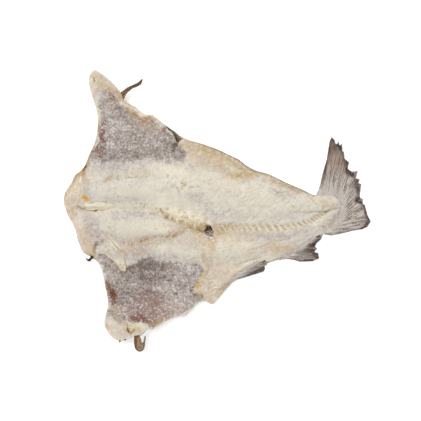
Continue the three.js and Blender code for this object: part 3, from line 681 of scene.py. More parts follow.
            (-36, -36, 8, 0.9),
        ],
        [(-7, -28, 6, 0.5), (-10, -20, 5, 0.3)],
        [
            (-92, -24, 8, 0.2), (-70, -29, 9, 0.35), (-50, -34, 11, 0.55), (-32, -36, 12, 0.9),
            (-26, -26, 8, 0.9), (-24, -18, 6, 0.6),
        ],
        [(50, -42, 6, 0.3), (120, -42, 6, 0.3)],
        [(-270, 77, 5, 0.9), (-262, 74, 6, 1), (-259, 68, 5, 0.8), (-256, 62, 4, 0.4)],
        [(-276, 66, 4, 0.4), (-270, 58, 3, 0.5), (-268, 50, 3, 0.3)],
        [(-262, -52, 8, 0.2), (-252, -70, 8, 0.3), (-242, -62, 5, 0.3)],
        [(-217, -48, 2.4, 0.4), (-203, -61, 2.4, 0.5), (-191, -75, 2.4, 0.4)],
        [(-220, -56, 2.4, 0.4), (-210, -64, 2.4, 0.5), (-201, -71, 2.4, 0.4)],
        [(-241, -66, 4, 0.4), (-240, -76, 4, 0.5), (-236, -84, 4, 0.5)],
        [(-290, 40, 5, 0.4), (-284, 52, 7, 0.7), (-275, 67, 8, 1), (-267, 78, 7, 1)],
        [(-28, -24, 5, 0.6), (-22, -18, 5, 0.4)],
        [(-192, -78, 6, 0.4), (-180, -84, 6, 0.4)],
    ],
    "rust": [
        [
            (-184, -62, 8, 0.35), (-160, -63, 10, 0.5), (-140, -57, 10, 0.5), (-118, -51, 8, 0.35),
            (-92, -48, 10, 0.5), (-64, -37, 8, 0.35),
        ],
        [(-166, -65, 6, 0.75), (-161, -63, 6, 0.75)],
        [(-152, -61, 6.5, 1), (-147, -58, 6.5, 1)],
        [(-139, -57, 6, 0.8), (-134, -55, 6, 0.7)],
        [(-123, -51, 5, 0.6), (-118, -50, 5, 0.6)],
        [(-99, -50, 6, 0.9), (-93, -48, 6, 0.8)],
        [(-84, -48, 6, 1), (-78, -44, 6, 0.9)],
        [(-72, -42, 5.5, 0.8), (-66, -38, 5, 0.6)],
        [(-164, -70, 8, 0.3), (-140, -66, 9, 0.4), (-94, -55, 8, 0.3)],
        [
            (-176, 196, 7, 0.6), (-164, 190, 8, 0.9), (-156, 184, 7, 0.9), (-149, 178, 6.5, 1),
            (-141, 177, 6.5, 1), (-132, 179, 5, 0.8),
        ],
        [(-231, 170, 4, 0.5), (-231, 160, 4, 0.7)],
        [(-246, 112, 5, 0.4), (-256, 94, 5, 0.5), (-262, 82, 5, 0.5)],
        [(-6, -31, 9, 0.3), (20, -29, 9, 0.35), (50, -31, 8, 0.2)],
        [(-262, 80, 4, 1), (-259, 74, 4.5, 0.9), (-262, 70, 3, 0.6)],
        [(-207, 64, 6, 0.5), (-217, 58, 5, 0.4)],
        [(-66, -197, 6, 0.5), (-50, -188, 5, 0.3)],
        [(-241, -72, 5, 0.7), (-239, -82, 4, 0.5)],
        [(-198, -66, 6, 0.3), (-188, -78, 8, 0.4)],
        [(-233, 236, 3, 0.6), (-226, 243, 4, 0.6), (-237, 228, 4, 0.4)],
        [(-243, 122, 5, 0.5), (-247, 112, 4, 0.5)],
        [(-266, 80, 6, 0.6), (-258, 86, 5, 0.6)],
        [(-74, -206, 5, 0.4), (-100, -208, 6, 0.4), (-130, -222, 8, 0.5)],
        [(-215, -190, 6, 0.3), (-188, -192, 12, 0.4)],
    ],
    "maroon": [
        [(-213, -194, 6, 0.3), (-202, -204, 8, 0.35), (-188, -214, 7, 0.25)],
        [(-231, 168, 6, 0.4), (-226, 152, 11, 0.6), (-223, 142, 10, 0.5), (-214, 136, 9, 0.25)],
        [(-229, 150, 3, 0.5), (-226, 140, 4, 0.5)],
        [(-234, 124, 7, 0.6), (-230, 112, 9, 0.5)],
        [(-216, 230, 10, 0.35), (-204, 226, 12, 0.5), (-196, 214, 10, 0.4)],
        [(-136, -152, 12, 0.25), (-120, -166, 12, 0.25), (-108, -178, 10, 0.2)],
        [(-162, -209, 10, 0.7), (-152, -205, 11, 1), (-146, -196, 8, 0.5)],
        [(-176, -190, 14, 0.3), (-130, -176, 22, 0.3), (-112, -196, 22, 0.25)],
        [(-136, -214, 10, 0.6), (-120, -214, 10, 0.4)],
        [(-116, 160, 8, 0.2), (-104, 158, 7, 0.3)],
    ],
    "blood": [
        [
            (-216, -138, 4, 0.6), (-212, -148, 6, 1), (-206, -157, 8, 1.1), (-201, -167, 8, 1.3),
            (-198, -178, 6, 0.7),
        ],
        [(-144, -214, 3, 1), (-143, -208, 3, 0.8)],
        [(-21, -29, 3.4, 1.6), (-20.5, -34, 3.4, 1.5), (-16, -38, 4, 0.9)],
    ],
    "olive": [
        [(-20, -53, 2, 0.4), (-16.5, -55, 2.2, 0.6)],
        [
            (-271, 11, 2.4, 0.5), (-268, 7, 2, 0.7), (-262, 3, 2, 0.8), (-254, 1.5, 1.4, 0.9),
            (-240, 0, 1.6, 1), (-230, 2, 1.4, 0.9), (-217, 3.5, 1.2, 0.6), (-205, 3.5, 1, 0.3),
        ],
        [(-216, 17, 4, 0.5)],
        [(-22.5, -27, 2, 0.7), (-23, -32, 2, 0.5)],
        [(-107, 38, 1.2, 0.3), (-103, 46, 1.2, 0.3), (-97, 54, 1.4, 0.4)],
        [(-92, 57, 1.4, 0.5), (-88, 54, 1.4, 0.5)],
        [(-274, -4, 1.6, 0.5), (-276, -12, 1.4, 0.4)],
        [(-156, 15, 3, 0.4)],
        [(-146, 13, 3, 0.6)],
        [(-137, 14, 3, 0.8)],
        [
            (-128, -3, 5, 0.3), (-110, -4, 5, 0.4), (-98, -13, 5, 0.4), (-74, -22, 5, 0.3),
            (-54, -31, 5, 0.4), (-36, -36, 6, 0.5), (-27, -40, 5, 0.5),
        ],
        *[[(x, 9, 1.6, 0.7), (x + 3, 16, 1.2, 0.4)] for x in (-151, -142, -136)],
        [(-136, -2, 2, 0.5)],
        [(-123, -3, 3, 0.6), (-119, -4, 2, 0.4)],
        [(-111, 3, 3, 0.7), (-108, -3, 2.4, 0.8), (-106, -8, 2.4, 0.6)],
        [(-101, -11, 3, 0.7), (-96, -14, 3, 0.6)],
        [(-90, -15, 3, 0.7), (-85, -18, 3, 0.6)],
        [(-73, -19, 3, 0.6), (-69, -22, 3, 0.6)],
        [(-61, -25, 3, 0.5), (-56, -29, 3, 0.8), (-52, -33, 3, 0.6)],
        [(-48, -27, 2.4, 0.6)],
        [(-38, -33, 3.4, 0.9), (-31, -37, 3, 0.8)],
        [
            (150, -1, 1.6, 0.3), (183, -3, 1.8, 0.6), (201, -3, 2.4, 0.9), (208, -2, 2.6, 1),
            (220, 1, 2, 0.8), (235, 5, 1.8, 0.7), (241, 7, 1.6, 0.5),
        ],
        [(174, 31, 1.4, 0.4), (184, 22, 1.6, 0.5), (194, 11, 1.4, 0.4)],
        [(106, 44, 1.6, 0.4), (113, 38, 1.8, 0.6), (125, 36, 1.8, 0.5), (138, 38, 1.4, 0.3)],
        [(39, 82, 2, 0.5), (54, 80, 2, 0.5), (70, 80, 1.6, 0.3)],
        [(36, -104, 1.8, 0.3), (60, -96, 2, 0.5), (85, -88, 2, 0.5), (100, -83, 1.6, 0.3)],
        [
            (60, -76, 2.4, 0.2), (72, -73, 2.8, 0.3), (84, -69, 2.8, 0.25), (97, -64, 3, 0.4),
            (108, -59, 3, 0.45), (120, -56, 2.6, 0.3), (136, -54, 2, 0.2),
        ],
        [(-67, 54, 2, 0.5), (-64, 50, 2, 0.6), (-65, 44, 1.6, 0.4)],
        [(-64, 49, 1.6, 0.5), (-59, 51, 1.4, 0.3)],
        [(-98, 44, 1.4, 0.5), (-106, 36, 1.4, 0.4), (-111, 31, 1.2, 0.2)],
        [(-80, 46, 1.4, 0.5), (-74, 34, 1.4, 0.4), (-68, 24, 1.2, 0.2)],
        [(-172, 67, 1.8, 0.7), (-166, 64, 1.6, 0.7), (-160, 65, 1.6, 0.7), (-157, 68, 1.4, 0.5)],
        [(-239, 258, 2.5, 0.9), (-238, 251, 3, 1)],
        [(-177, -221, 1.6, 1), (-174, -231, 2, 1.4), (-168, -238.5, 2, 1.4)],
        [(-168, -238, 1.8, 1.2), (-161, -229, 1.6, 1)],
        [(-248, 15, 1.4, 0.5), (-236, 18, 1.4, 0.6), (-222, 18, 1.4, 0.5), (-212, 14, 1.4, 0.4)],
        [(50, 8, 2, 0.3), (58, 12, 2, 0.4)],
        [(64, 6, 2, 0.3), (72, 11, 2, 0.4)],
        [(80, 5, 2, 0.3), (88, 10, 2, 0.4)],
        [(94, 3, 2, 0.3), (101, 8, 2, 0.4)],
        [(106, 1, 2, 0.3), (112, 5, 2, 0.3)],
    ],
    "dark": [
        # painted shade in holes, cracks, slits and the pit, and a few dark bits
        [(-98, -12.5, 1.8, 0.8)],
        [(-175, -228, 1.3, 0.7), (-171, -236, 1.3, 0.8)],
        [(-108, -6, 1.2, 0.4)],
        [(-54, -33, 1.4, 0.4)],
        [(-34, -36, 1.8, 0.5)],
        [(-239, -0.6, 1.4, 0.9), (-234, 0.6, 1, 0.5)],
        [(-16, -30, 2.8, 1.6), (-14.5, -34, 3.4, 1.9), (-12.5, -38, 2.6, 1.3)],
        [(-26, -38.5, 1.6, 0.7), (-21, -36, 3, 1.6), (-19.5, -31, 2.6, 1.1)],
        [(-9.5, -49.5, 2, 1)],
        [(-24, -50, 1.4, 0.5)],
        [(-9, -48, 2, 0.7)],
        # painted shade inside the fold, and painted shadow below its tip
        [(-96, 161, 2, 0.4), (-88, 152, 2.2, 0.5), (-82, 144, 2.2, 0.6), (-77, 135, 2.6, 0.9)],
        [(-80, 130, 6, 0.55), (-84, 121, 6, 0.5)],
        [(-266, 80, 2.4, 0.6), (-260, 82, 3, 0.9), (-256, 87, 2.4, 0.7)],
        [(-247, -85, 2.4, 0.5), (-240, -88, 2, 0.5)],
        [(-31, -165, 4.5, 0.6), (-26, -172, 3, 0.3)],
        [(-235.5, -64, 6, 0.7), (-237, -71, 4, 0.6)],
        [(-224, -57, 4.5, 0.55)],
        [(-221, -40, 4, 0.25)],
        [(-240, -77, 3.5, 0.4)],
    ],
    "rim": [
        [(104, 62, 6, 0.3), (124, 53, 7, 0.45), (142, 45, 7, 0.5), (156, 39, 6, 0.3)],
        [(208, -30, 12, 0.3), (222, -22, 15, 0.4), (232, -8, 7, 0.3)],
        [
            (-299, 20, 2, 0.4), (-294, 42, 2.5, 0.7), (-284, 58, 2.5, 0.8), (-274, 73, 2.5, 0.8),
            (-264, 81, 2.5, 0.6),
        ],
        [(-296, -2, 2, 0.4), (-281, -32, 2, 0.4), (-271, -62, 2, 0.4)],
        [(118, -93, 4, 0.3), (138, -84, 6, 0.3), (162, -69, 6, 0.25), (184, -54, 5, 0.2)],
        [(8, -150, 6, 0.7), (20, -142, 6, 0.6), (46, -117, 5, 0.3), (76, -98, 5, 0.3)],
        [
            (-64, 141, 2, 0.4), (-52, 137, 4, 0.9), (-33, 132, 3.5, 0.9), (0, 119, 3, 0.8),
            (40, 100, 3.5, 1), (58, 87, 3.5, 1), (73, 79, 3.5, 1), (100, 71, 3.5, 0.9),
            (127, 58, 4, 0.9), (163, 42, 4, 0.9), (188, 32, 4, 0.8),
        ],
        [
            (-240, 212, 2, 0.32), (-235, 189, 2, 0.4), (-234, 165, 2, 0.56), (-239, 137, 3.5, 0.7),
            (-249, 112, 4.5, 0.8), (-258, 90, 4.5, 0.8),
        ],
        [
            (-262, -80, 2, 0.4), (-246, -90, 2.5, 0.64), (-233, -100, 2.5, 0.64), (-224, -120, 2, 0.64),
            (-219, -144, 2, 0.56), (-213, -180, 2, 0.48), (-217, -200, 2, 0.32),
        ],
        [(-124, -229, 2, 0.2), (-98, -214, 2, 0.2), (-62, -203, 2, 0.2), (-38, -180, 2, 0.2)],
        [(-12, -181, 2, 0.32), (1, -171, 2, 0.4), (16, -154, 2, 0.4), (29, -140, 2, 0.24)],
        [(94, -102, 5, 1), (110, -98, 5, 1.1), (126, -92, 4, 0.8)],
        [(-99, 166, 4, 1), (-84, 156, 5, 1.2), (-69, 144, 4, 1)],
    ],
    "stringy": [
        [(-60, 26, 12, 0.3), (-36, 20, 14, 0.45), (-14, 8, 14, 0.4)],
        [(-16, -6, 12, 0.3), (4, 0, 14, 0.6), (24, 10, 14, 0.6), (46, 20, 12, 0.4), (70, 26, 12, 0.25)],
        [(-70, -84, 14, 0.3), (-30, -76, 18, 0.4), (10, -70, 18, 0.4)],
        [(-12, -120, 14, 0.9), (-14, -150, 14, 1), (2, -150, 12, 0.9)],
    ],
    "gold": [
        [(-259, 27, 5.5, 1.2), (-254.5, 23, 6.5, 1.3)],
        [(-250.5, 19, 4, 0.7)],
        [(-74, 139, 2, 0.4)],
    ],
    "pale_and_highlight": [
        # pale patches and spots, and painted highlights on crests and edges
        [(-140, 26, 16, 0.4), (-112, 24, 18, 0.7), (-86, 24, 16, 0.7), (-60, 14, 14, 0.5)],
        [(-132, 52, 14, 0.3), (-108, 52, 16, 0.5), (-88, 58, 12, 0.6)],
        [(-24, 22, 14, 0.3), (4, 24, 14, 0.4)],
        [(30, 10, 14, 0.4), (60, 6, 16, 0.5), (90, 2, 16, 0.6), (120, 4, 14, 0.5)],
        [(-266, 66, 1.8, 1.2), (-266.5, 57, 1.8, 1)],
        [(-246, 252, 6, 0.5), (-241, 238, 6, 0.4), (-229, 240, 6, 0.4)],
        [(-213, -233, 7, 0.5), (-200, -244, 7, 0.6), (-186, -247, 6, 0.5)],
        [
            (-120, -226, 3, 0.6), (-97, -212, 3, 0.7), (-64, -200, 3, 0.6), (-42, -184, 3, 0.7),
            (-30, -178, 3, 0.6),
        ],
        [(-216, -78, 5, 0.6), (-206, -86, 5, 0.7)],
        [(224, 25, 6, 0.4), (230, 19, 8, 0.5), (233, 10, 6, 0.5)],
        [(-113, 0, 1.6, 0.7), (-111, -8, 1.4, 0.6)],
        [(-103, -3, 1.6, 0.6), (-103, -9, 1.4, 0.5)],
        [(-92, -10, 1.8, 0.8), (-91, -17, 1.4, 0.7)],
        [(-79, -15, 1.8, 0.8), (-77, -22, 1.4, 0.7)],
        [(-65, -19, 1.8, 0.8), (-62, -28, 1.4, 0.7)],
        [(-45, -26, 1.8, 0.8), (-42, -35, 1.4, 0.7)],
        [(-24, -49, 1.8, 0.7), (-14, -51.5, 3, 1.1), (-10, -51, 2.4, 0.9), (-6, -45, 1.6, 0.6)],
        *[[(x, 8, 1.8, 0.7), (x + 4, 19, 2, 0.6)] for x in (-155, -147, -138, -129, -120, -110)],
        [(-222, -46, 2.4, 0.6), (-208, -59, 2.6, 0.8), (-194, -76, 2.4, 0.6)],
        [(-212, -46, 2.2, 0.6), (-198, -61, 2.4, 0.8), (-188, -72, 2.2, 0.5)],
        [(-228, -54, 1.8, 0.6), (-216, -62, 2, 0.9), (-206, -68, 1.8, 0.6)],
        [(-226, -80, 4, 0.6), (-220, -72, 4, 0.6)],
        # painted highlights on the lip over the neck slit
        [(-252, 9, 2, 0.7), (-240, 12, 2.4, 0.9), (-226, 12, 2, 0.8), (-214, 9, 1.6, 0.5)],
        [(-256, 5, 1.6, 0.5), (-242, 7, 1.8, 0.7), (-228, 8, 1.6, 0.5)],
        [(-56, -6, 2.6, 0.8), (-54, 16, 2.6, 0.9)],
        [(-45, -6, 2.4, 0.9), (-40, 14, 2.4, 0.9)],
        [(-34, -10, 2.8, 1), (-28, 9, 2.4, 0.8)],
        [(-5, 0, 2.2, 0.8), (10, 12, 2.2, 0.8)],
        [(2, -4, 2.6, 0.8), (29, 19, 2.4, 0.8)],
        [(18, -8, 2.4, 0.7), (40, 6, 2.2, 0.7)],
        # painted highlight along the edge of the fold
        [(-84, 154.5, 1.4, 0.4), (-79, 150.5, 1.8, 0.6), (-74, 147, 2.2, 0.8), (-70, 144, 2.2, 0.9)],
    ],
    "tawny": [
        [(-160, 180, 10, 0.5), (-146, 168, 16, 0.8), (-128, 160, 16, 0.6), (-112, 158, 10, 0.4)],
        [(-216, 216, 12, 0.5), (-204, 206, 12, 0.4)],
        [(-130, -176, 24, 0.25), (-104, -194, 26, 0.45), (-76, -196, 18, 0.4)],
        [(-128, -218, 10, 0.8), (-104, -208, 10, 0.7)],
    ],
    "murk": [
        [
            (-230, 112, 16, 0.4), (-200, 110, 14, 0.5), (-160, 110, 10, 0.4), (-110, 112, 14, 0.3),
            (-84, 126, 22, 0.7),
        ],
        # darker lining, and painted shadow below the tip of the fold
        [(-84, 128, 10, 0.8), (-68, 112, 10, 0.8), (-64, 102, 8, 0.6)],
        [
            (-176, -104, 12, 0.7), (-152, -108, 22, 1.5), (-130, -106, 20, 1.4), (-108, -108, 18, 1.2),
            (-86, -110, 14, 0.3),
        ],
        [(-152, -122, 12, 0.9)],
        [(-192, -120, 14, 0.4), (-160, -124, 22, 0.8), (-130, -136, 18, 1.3), (-100, -130, 16, 0.9)],
        [(-198, -142, 14, 0.6), (-180, -158, 16, 0.7), (-150, -156, 20, 0.9), (-118, -172, 18, 0.8)],
        [(-44, -150, 12, 0.4), (-40, -166, 10, 0.5)],
    ],
    "frost": [
        [(-214, 202, 16, 0.8), (-206, 176, 20, 0.5), (-204, 146, 20, 1), (-206, 122, 14, 1)],
        [(-188, 160, 20, 1.1), (-164, 160, 18, 0.6), (-130, 158, 16, 1), (-112, 156, 12, 0.8)],
        [(-112, 104, 16, 0.3), (-90, 102, 14, 0.6), (-72, 104, 10, 0.3)],
        [(-150, -148, 14, 0.6), (-120, -146, 16, 0.8), (-96, -142, 14, 0.9), (-80, -156, 12, 0.5)],
        [
            (-176, 124, 14, 0.3), (-150, 124, 14, 0.7), (-132, 136, 16, 0.5), (-108, 138, 14, 0.3),
            (-92, 118, 12, 0.8),
        ],
        [(-216, -104, 14, 0.5), (-206, -124, 14, 0.6)],
        [(-226, -112, 10, 1.4), (-219, -130, 8, 1.2)],
        [(-78, -106, 12, 1), (-64, -108, 14, 1.5), (-48, -110, 12, 1.5)],
        [(-70, -122, 14, 0.7), (-48, -134, 14, 0.6), (-60, -150, 14, 0.3)],
        [(-212, -160, 8, 0.4), (-200, -188, 12, 0.6), (-176, -190, 14, 0.8), (-152, -190, 14, 1.1)],
        [(-130, -218, 9, 0.8), (-114, -214, 10, 1.2)],
        [
            (-124, -190, 20, 0.4), (-90, -184, 26, 0.9), (-66, -176, 20, 0.9), (-70, -196, 14, 1),
            (-110, -206, 14, 0.8),
        ],
    ],
}

FINISHES = list(dict.fromkeys([*AREAS, *STROKES]))
MARKS = [*FINISHES, "lower side", "neck side"]  # all that the points of the flesh are marked with


def stroked(paths, x, y):
    """How strongly strokes show at each place."""
    strength = np.zeros(x.shape)
    for path in paths:
        away, width, full = along(path, x, y)
        strength = np.maximum(strength, full * (1 - smooth_step(away, 0, STROKE_FADE * width)))
    return strength


def finish_strength(name, x, y):
    """How strongly a finish shows at each place."""
    x, y = wandering(x, y)
    strength = stroked(STROKES.get(name, []), x, y)
    for outline, soft, full in AREAS.get(name, []):
        inside = edge_distance(flowing(outline, 4), x, y)
        strength = np.maximum(strength, full * smooth_step(inside, -soft, soft))
    return strength


# ---------------------------------------------------------------- meshes


def triangulated(ring, spacing, rim):
    """Points and triangles that fill a ring, and which of the points are the ring's own.

    The points are the ring, rings set in from it by the depths in `rim`, and a hexagonal grid.
    """
    low, high = ring.min(axis=0), ring.max(axis=0)
    rows = np.arange(low[1], high[1], spacing * math.sqrt(3) / 2)
    shifts = np.arange(len(rows)) % 2 * spacing / 2
    lines = [np.column_stack([np.arange(low[0] + s, high[0], spacing)] * 2) for s in shifts]
    grid = np.vstack([line * (1, 0) + (0, y) for line, y in zip(lines, rows)])
    grid = grid[edge_distance(ring, *grid.T) > rim[-1] + 0.5 * spacing]
    points = [ring]
    for depth in rim:
        inset = ring - outward(ring) * depth
        points.append(inset[edge_distance(ring, *inset.T) > 0.8 * depth])
    flat = np.vstack([*points, grid])
    edges = [(i, (i + 1) % len(ring)) for i in range(len(ring))]
    made, _, faces, origins, _, _ = delaunay_2d_cdt([Vector(p) for p in flat], edges, [], 1, 1e-5)
    index = {old: new for new, olds in enumerate(origins) for old in olds}
    border = np.array([index[i] for i in range(len(ring))])
    return np.array([tuple(p) for p in made]), np.array(faces), border


def slab(name, ring, top, bottom, spacing, under_spacing, rim):
    """A closed sheet of material between two heights, with its edge rounded over the width of `rim`."""
    upper, upper_faces, upper_border = triangulated(ring, spacing, rim)
    lower, lower_faces, lower_border = triangulated(ring, under_spacing, rim[-1:])

    def rounded(flat, face):
        x, y = flat.T
        middle = (top(x, y) + bottom(x, y)) / 2
        inside = np.clip(edge_distance(ring, x, y) / rim[-1], 0, 1)
        return middle + (face(x, y) - middle) * np.sqrt(1 - (1 - inside) ** 2)

    high, low = rounded(upper, top), rounded(lower, bottom)
    place = np.full(len(lower), -1)
    place[lower_border] = upper_border
    fresh = np.flatnonzero(place < 0)
    place[fresh] = len(upper) + np.arange(len(fresh))
    points = np.vstack([np.column_stack([upper, high]), np.column_stack([lower[fresh], low[fresh]])])
    return mesh_piece(name, points, np.vstack([upper_faces, place[lower_faces][:, ::-1]]))


def mesh_piece(name, points, faces):
    """A smooth mesh object from points in millimetres."""
    mesh = bpy.data.meshes.new(name)
    mesh.from_pydata((points * MM).tolist(), [], faces.tolist())
    mesh.shade_smooth()
    return placed(name, mesh)


def placed(name, data):
    """An object in the scene, from its mesh, lamp or camera."""
    made = bpy.data.objects.new(name, data)
    bpy.context.scene.collection.objects.link(made)
    return made


def crumbled(name, spots, roughness, seed):
    """Rough lumps in one mesh, each an (x, y, lift, half length, half width, half height)."""
    ball = bmesh.new()
    bmesh.ops.create_icosphere(ball, subdivisions=3, radius=1)
    unit = np.array([tuple(v.co) for v in ball.verts])
    faces = np.array([[v.index for v in f.verts] for f in ball.faces])
    ball.free()
    points, triangles = [], []
    for k, (x, y, lift, *half) in enumerate(spots):
        bumps = rough_noise(unit[:, 0] + unit[:, 2] + 3 * k, unit[:, 1] - unit[:, 2], 0.7, seed)
        level = float(flesh_side(np.array([x]), np.array([y]), 0)[0])
        points.append(unit * (1 + roughness * bumps)[:, None] * half + (x, y, level + lift))
        triangles.append(faces + k * len(unit))
    return mesh_piece(name, np.vstack(points), np.vstack(triangles))


def places(piece):
    """x, y and z of a piece's points, in millimetres."""
    flat = np.empty(len(piece.data.vertices) * 3)
    piece.data.vertices.foreach_get("co", flat)
    return flat.reshape(-1, 3).T / MM


def mark(piece, name, values):
    """Keeps a number for each point of a piece, which its material reads by name."""
    layer = piece.data.attributes.new(name, "FLOAT", "POINT")
    layer.data.foreach_set("value", np.asarray(values, np.float32))


# ---------------------------------------------------------------- materials


def linear(colour):
    """An sRGB hex colour as linear RGBA."""
    channels = [int(colour[i : i + 2], 16) / 255 for i in (1, 3, 5)]
    return [c / 12.92 if c <= 0.04045 else ((c + 0.055) / 1.055) ** 2.4 for c in channels] + [1.0]


def node(tree, kind, sockets=None, output=0, **settings):
    """One output of a new node that has these settings, and these values or links in its input sockets."""
    made = tree.nodes.new(kind)
    for name, value in settings.items():
        setattr(made, name, value)
    for key, value in (sockets or {}).items():
        if isinstance(value, bpy.types.NodeSocket):
            tree.links.new(value, made.inputs[key])
        else:
            made.inputs[key].default_value = value
    return made.outputs[output]


DRY_IOR = 1.45
DRY_SPECULAR = 0.2  # a dry, porous surface has little gloss


def new_material(name, roughness):
    """A material, its tree, its shader and its Object coordinates."""
    material = bpy.data.materials.new(name)
    material.use_nodes = True
    tree = material.node_tree
    shader = tree.nodes["Principled BSDF"]
    shader.inputs["Roughness"].default_value = roughness
    shader.inputs["IOR"].default_value = DRY_IOR
    shader.inputs["Specular IOR Level"].default_value = DRY_SPECULAR
    return material, tree, shader, node(tree, "ShaderNodeTexCoord", output="Object")


def surfaced(tree, shader, colour, height, strength, depth):
    """Gives a shader its colour, and a bump that is `depth` millimetres deep."""
    tree.links.new(colour, shader.inputs["Base Color"])
    bump = node(tree, "ShaderNodeBump", {"Height": height, "Strength": strength, "Distance": depth * MM})
    tree.links.new(bump, shader.inputs["Normal"])


def grain(tree, coords, size, detail=2.0, roughness=0.6, length=1.0, turn=0.0, shift=0.0):
    """Noise from 0 to 1 in grains of `size` millimetres, `length` times as long in the direction `turn`."""
    turned = node(
        tree, "ShaderNodeMapping",
        {
            "Vector": coords,
            "Location": (shift, shift, 0),
            "Rotation": (0, 0, turn),
            "Scale": (length, 1, 1),
        },
        vector_type="TEXTURE",
    )
    return node(
        tree, "ShaderNodeTexNoise",
        {"Vector": turned, "Scale": 1 / (size * MM), "Detail": detail, "Roughness": roughness},
        output="Fac",
    )


def weighed(tree, start, *terms):
    """`start` plus numbers that are each multiplied by a weight."""
    total = start
    for value, weight in terms:
        total = node(tree, "ShaderNodeMath", {0: value, 1: weight, 2: total}, operation="MULTIPLY_ADD")
    return total


def laid(tree, below, above, where, low, high, full=1.0):
    """A colour laid over another, from not at all where `where` is `low` to as much as `full` at `high`."""
    share = node(
        tree, "ShaderNodeMapRange",
        {"Value": where, "From Min": low, "From Max": high, "To Min": 0.0, "To Max": full},
        interpolation_type="SMOOTHSTEP",
    )
    return node(tree, "ShaderNodeMix", {0: share, 6: below, 7: above}, output=2, data_type="RGBA")


def stained_or_shaded(tree, below, name, one, other, patches, breakup, speckle=4.6):
    """A colour with a finish over it where the piece is marked with that finish's name.

    The finish varies between two hex colours with the noise `patches`, and the noise `breakup`
    breaks it up by the amount `speckle`.
    """
    broken = weighed(tree, 1 - speckle / 2, (breakup, speckle))
    marked = node(tree, "ShaderNodeAttribute", output="Fac", attribute_name=name)
    shown = node(tree, "ShaderNodeMath", {0: broken, 1: marked}, operation="MULTIPLY", use_clamp=True)
    colour = laid(tree, linear(one), linear(other), patches, 0.35, 0.65)
    return node(tree, "ShaderNodeMix", {0: shown, 6: below, 7: colour}, output=2, data_type="RGBA")


# Stains, painted shade and painted highlights of the flesh, each over the one before: its finish, its
# two colours, the grains that vary it and break it up, and how much they break it up
MEAT_STAINS_AND_SHADE = [
    ("cream", "#ebe4d0", "#e2d6b8", "patches", "clumps", 4.6),  # thick, opaque meat
    ("bloom", "#bab1ab", "#b1a8a3", "patches", "clumps", 4.6),  # grey haze of salt, and painted shade beside the knife step
    ("pink", "#d6c2ae", "#c3ac8d", "patches", "clumps", 4),  # thin meat
    ("tan", "#b29a72", "#bfaa86", "patches", "fine", 4.6),  # tan patches, and painted shade in the hollows between bars and crumbs
    ("ochre", "#b79867", "#c3a878", "patches", "clumps", 4.6),  # yellowed fat
    ("rim", "#a8957f", "#93816d", "patches", "fine", 4.6),  # skin that shows through at the edge
]
TOP_STAINS_SHADE_AND_HIGHLIGHTS = [
    ("maroon", "#866860", "#764f47", "patches", "fine", 7),  # blood soaked into the belly lining
    ("rust", "#b1906c", "#a0805d", "patches", "fine", 4),  # brown flecks at the edges of the lining
    ("blood", "#7c5443", "#683e2e", "patches", "fine", 3),  # dried blood
    ("olive", "#ab986d", "#917d54", "patches", "fine", 3),  # shaded bottom of a slit or crease
    ("umber", "#6b594c", "#543f2d", "patches", "fine", 1.5),  # painted shade in the fold and the pit, over the skin seen in the fold
    ("gold", "#dba743", "#c58c28", "fine", "fine", 2),  # spots of yellow oil
    ("pale_and_highlight", "#e9e3d6", "#dbd2c0", "patches", "fine", 4),  # pale patches, and painted highlights on crests and edges
    ("dark", "#4a3424", "#24130b", "patches", "fine", 2),  # painted shade in holes, cracks and the fold; a few dark bits
]
# Marks that the colours of the flesh are worked out with, besides the stains and painted shade
READ_MARKS = ["lining", "stringy", "pink", "murk", "frost", "lower side", "neck side"]


def muscle(tree, coords, marked):
    """Long thin grains that lie as the muscle fibres do, upright ones at the neck."""
    upright = grain(tree, coords, 2.6, 3, length=4, turn=math.radians(80), shift=0.9)
    upper = grain(tree, coords, 2.6, 3, length=5, turn=UPPER_LEAN, shift=1.1)
    lower = grain(tree, coords, 2.6, 3, length=5, turn=LOWER_LEAN, shift=1.3)
    loin = node(tree, "ShaderNodeMix", {0: marked["lower side"], 2: upper, 3: lower})
    return node(tree, "ShaderNodeMix", {0: marked["neck side"], 2: loin, 3: upright})


def overlaid(tree, colour, overlays, grains):
    """A colour with each of a list of finishes over it: stain, painted shade and painted highlight."""
    for name, one, other, patches, breakup, speckle in overlays:
        colour = stained_or_shaded(tree, colour, name, one, other, grains[patches], grains[breakup], speckle)
    return colour


def meat(tree, grains, fibre, marked):
    """Colour of the meat: cream to grey, faintly fibrous, with a broken crust of salt."""
    colour = laid(tree, linear("#dad5c9"), linear("#d3cbbe"), grains["broad"], 0.38, 0.62)
    colour = laid(tree, colour, linear("#d6cbb5"), grains["patches"], 0.5, 0.66, 0.5)
    colour = laid(tree, colour, linear("#b3a899"), fibre, 0.52, 0.7, 0.8)
    colour = laid(tree, colour, linear("#ada49b"), fibre, 0.5, 0.58, marked["stringy"])
    colour = laid(tree, colour, linear("#ece7dc"), fibre, 0.48, 0.4, marked["stringy"])
    colour = overlaid(tree, colour, MEAT_STAINS_AND_SHADE, grains)
    crust = weighed(tree, 0.0, (grains["fine"], 0.5), (grains["clumps"], 0.5))
    salt = weighed(tree, 0.6, (marked["pink"], -0.42))
    colour = laid(tree, colour, linear("#a99c8e"), crust, 0.53, 0.66, 0.65)
    return laid(tree, colour, linear("#ebe6dc"), crust, 0.47, 0.36, salt)


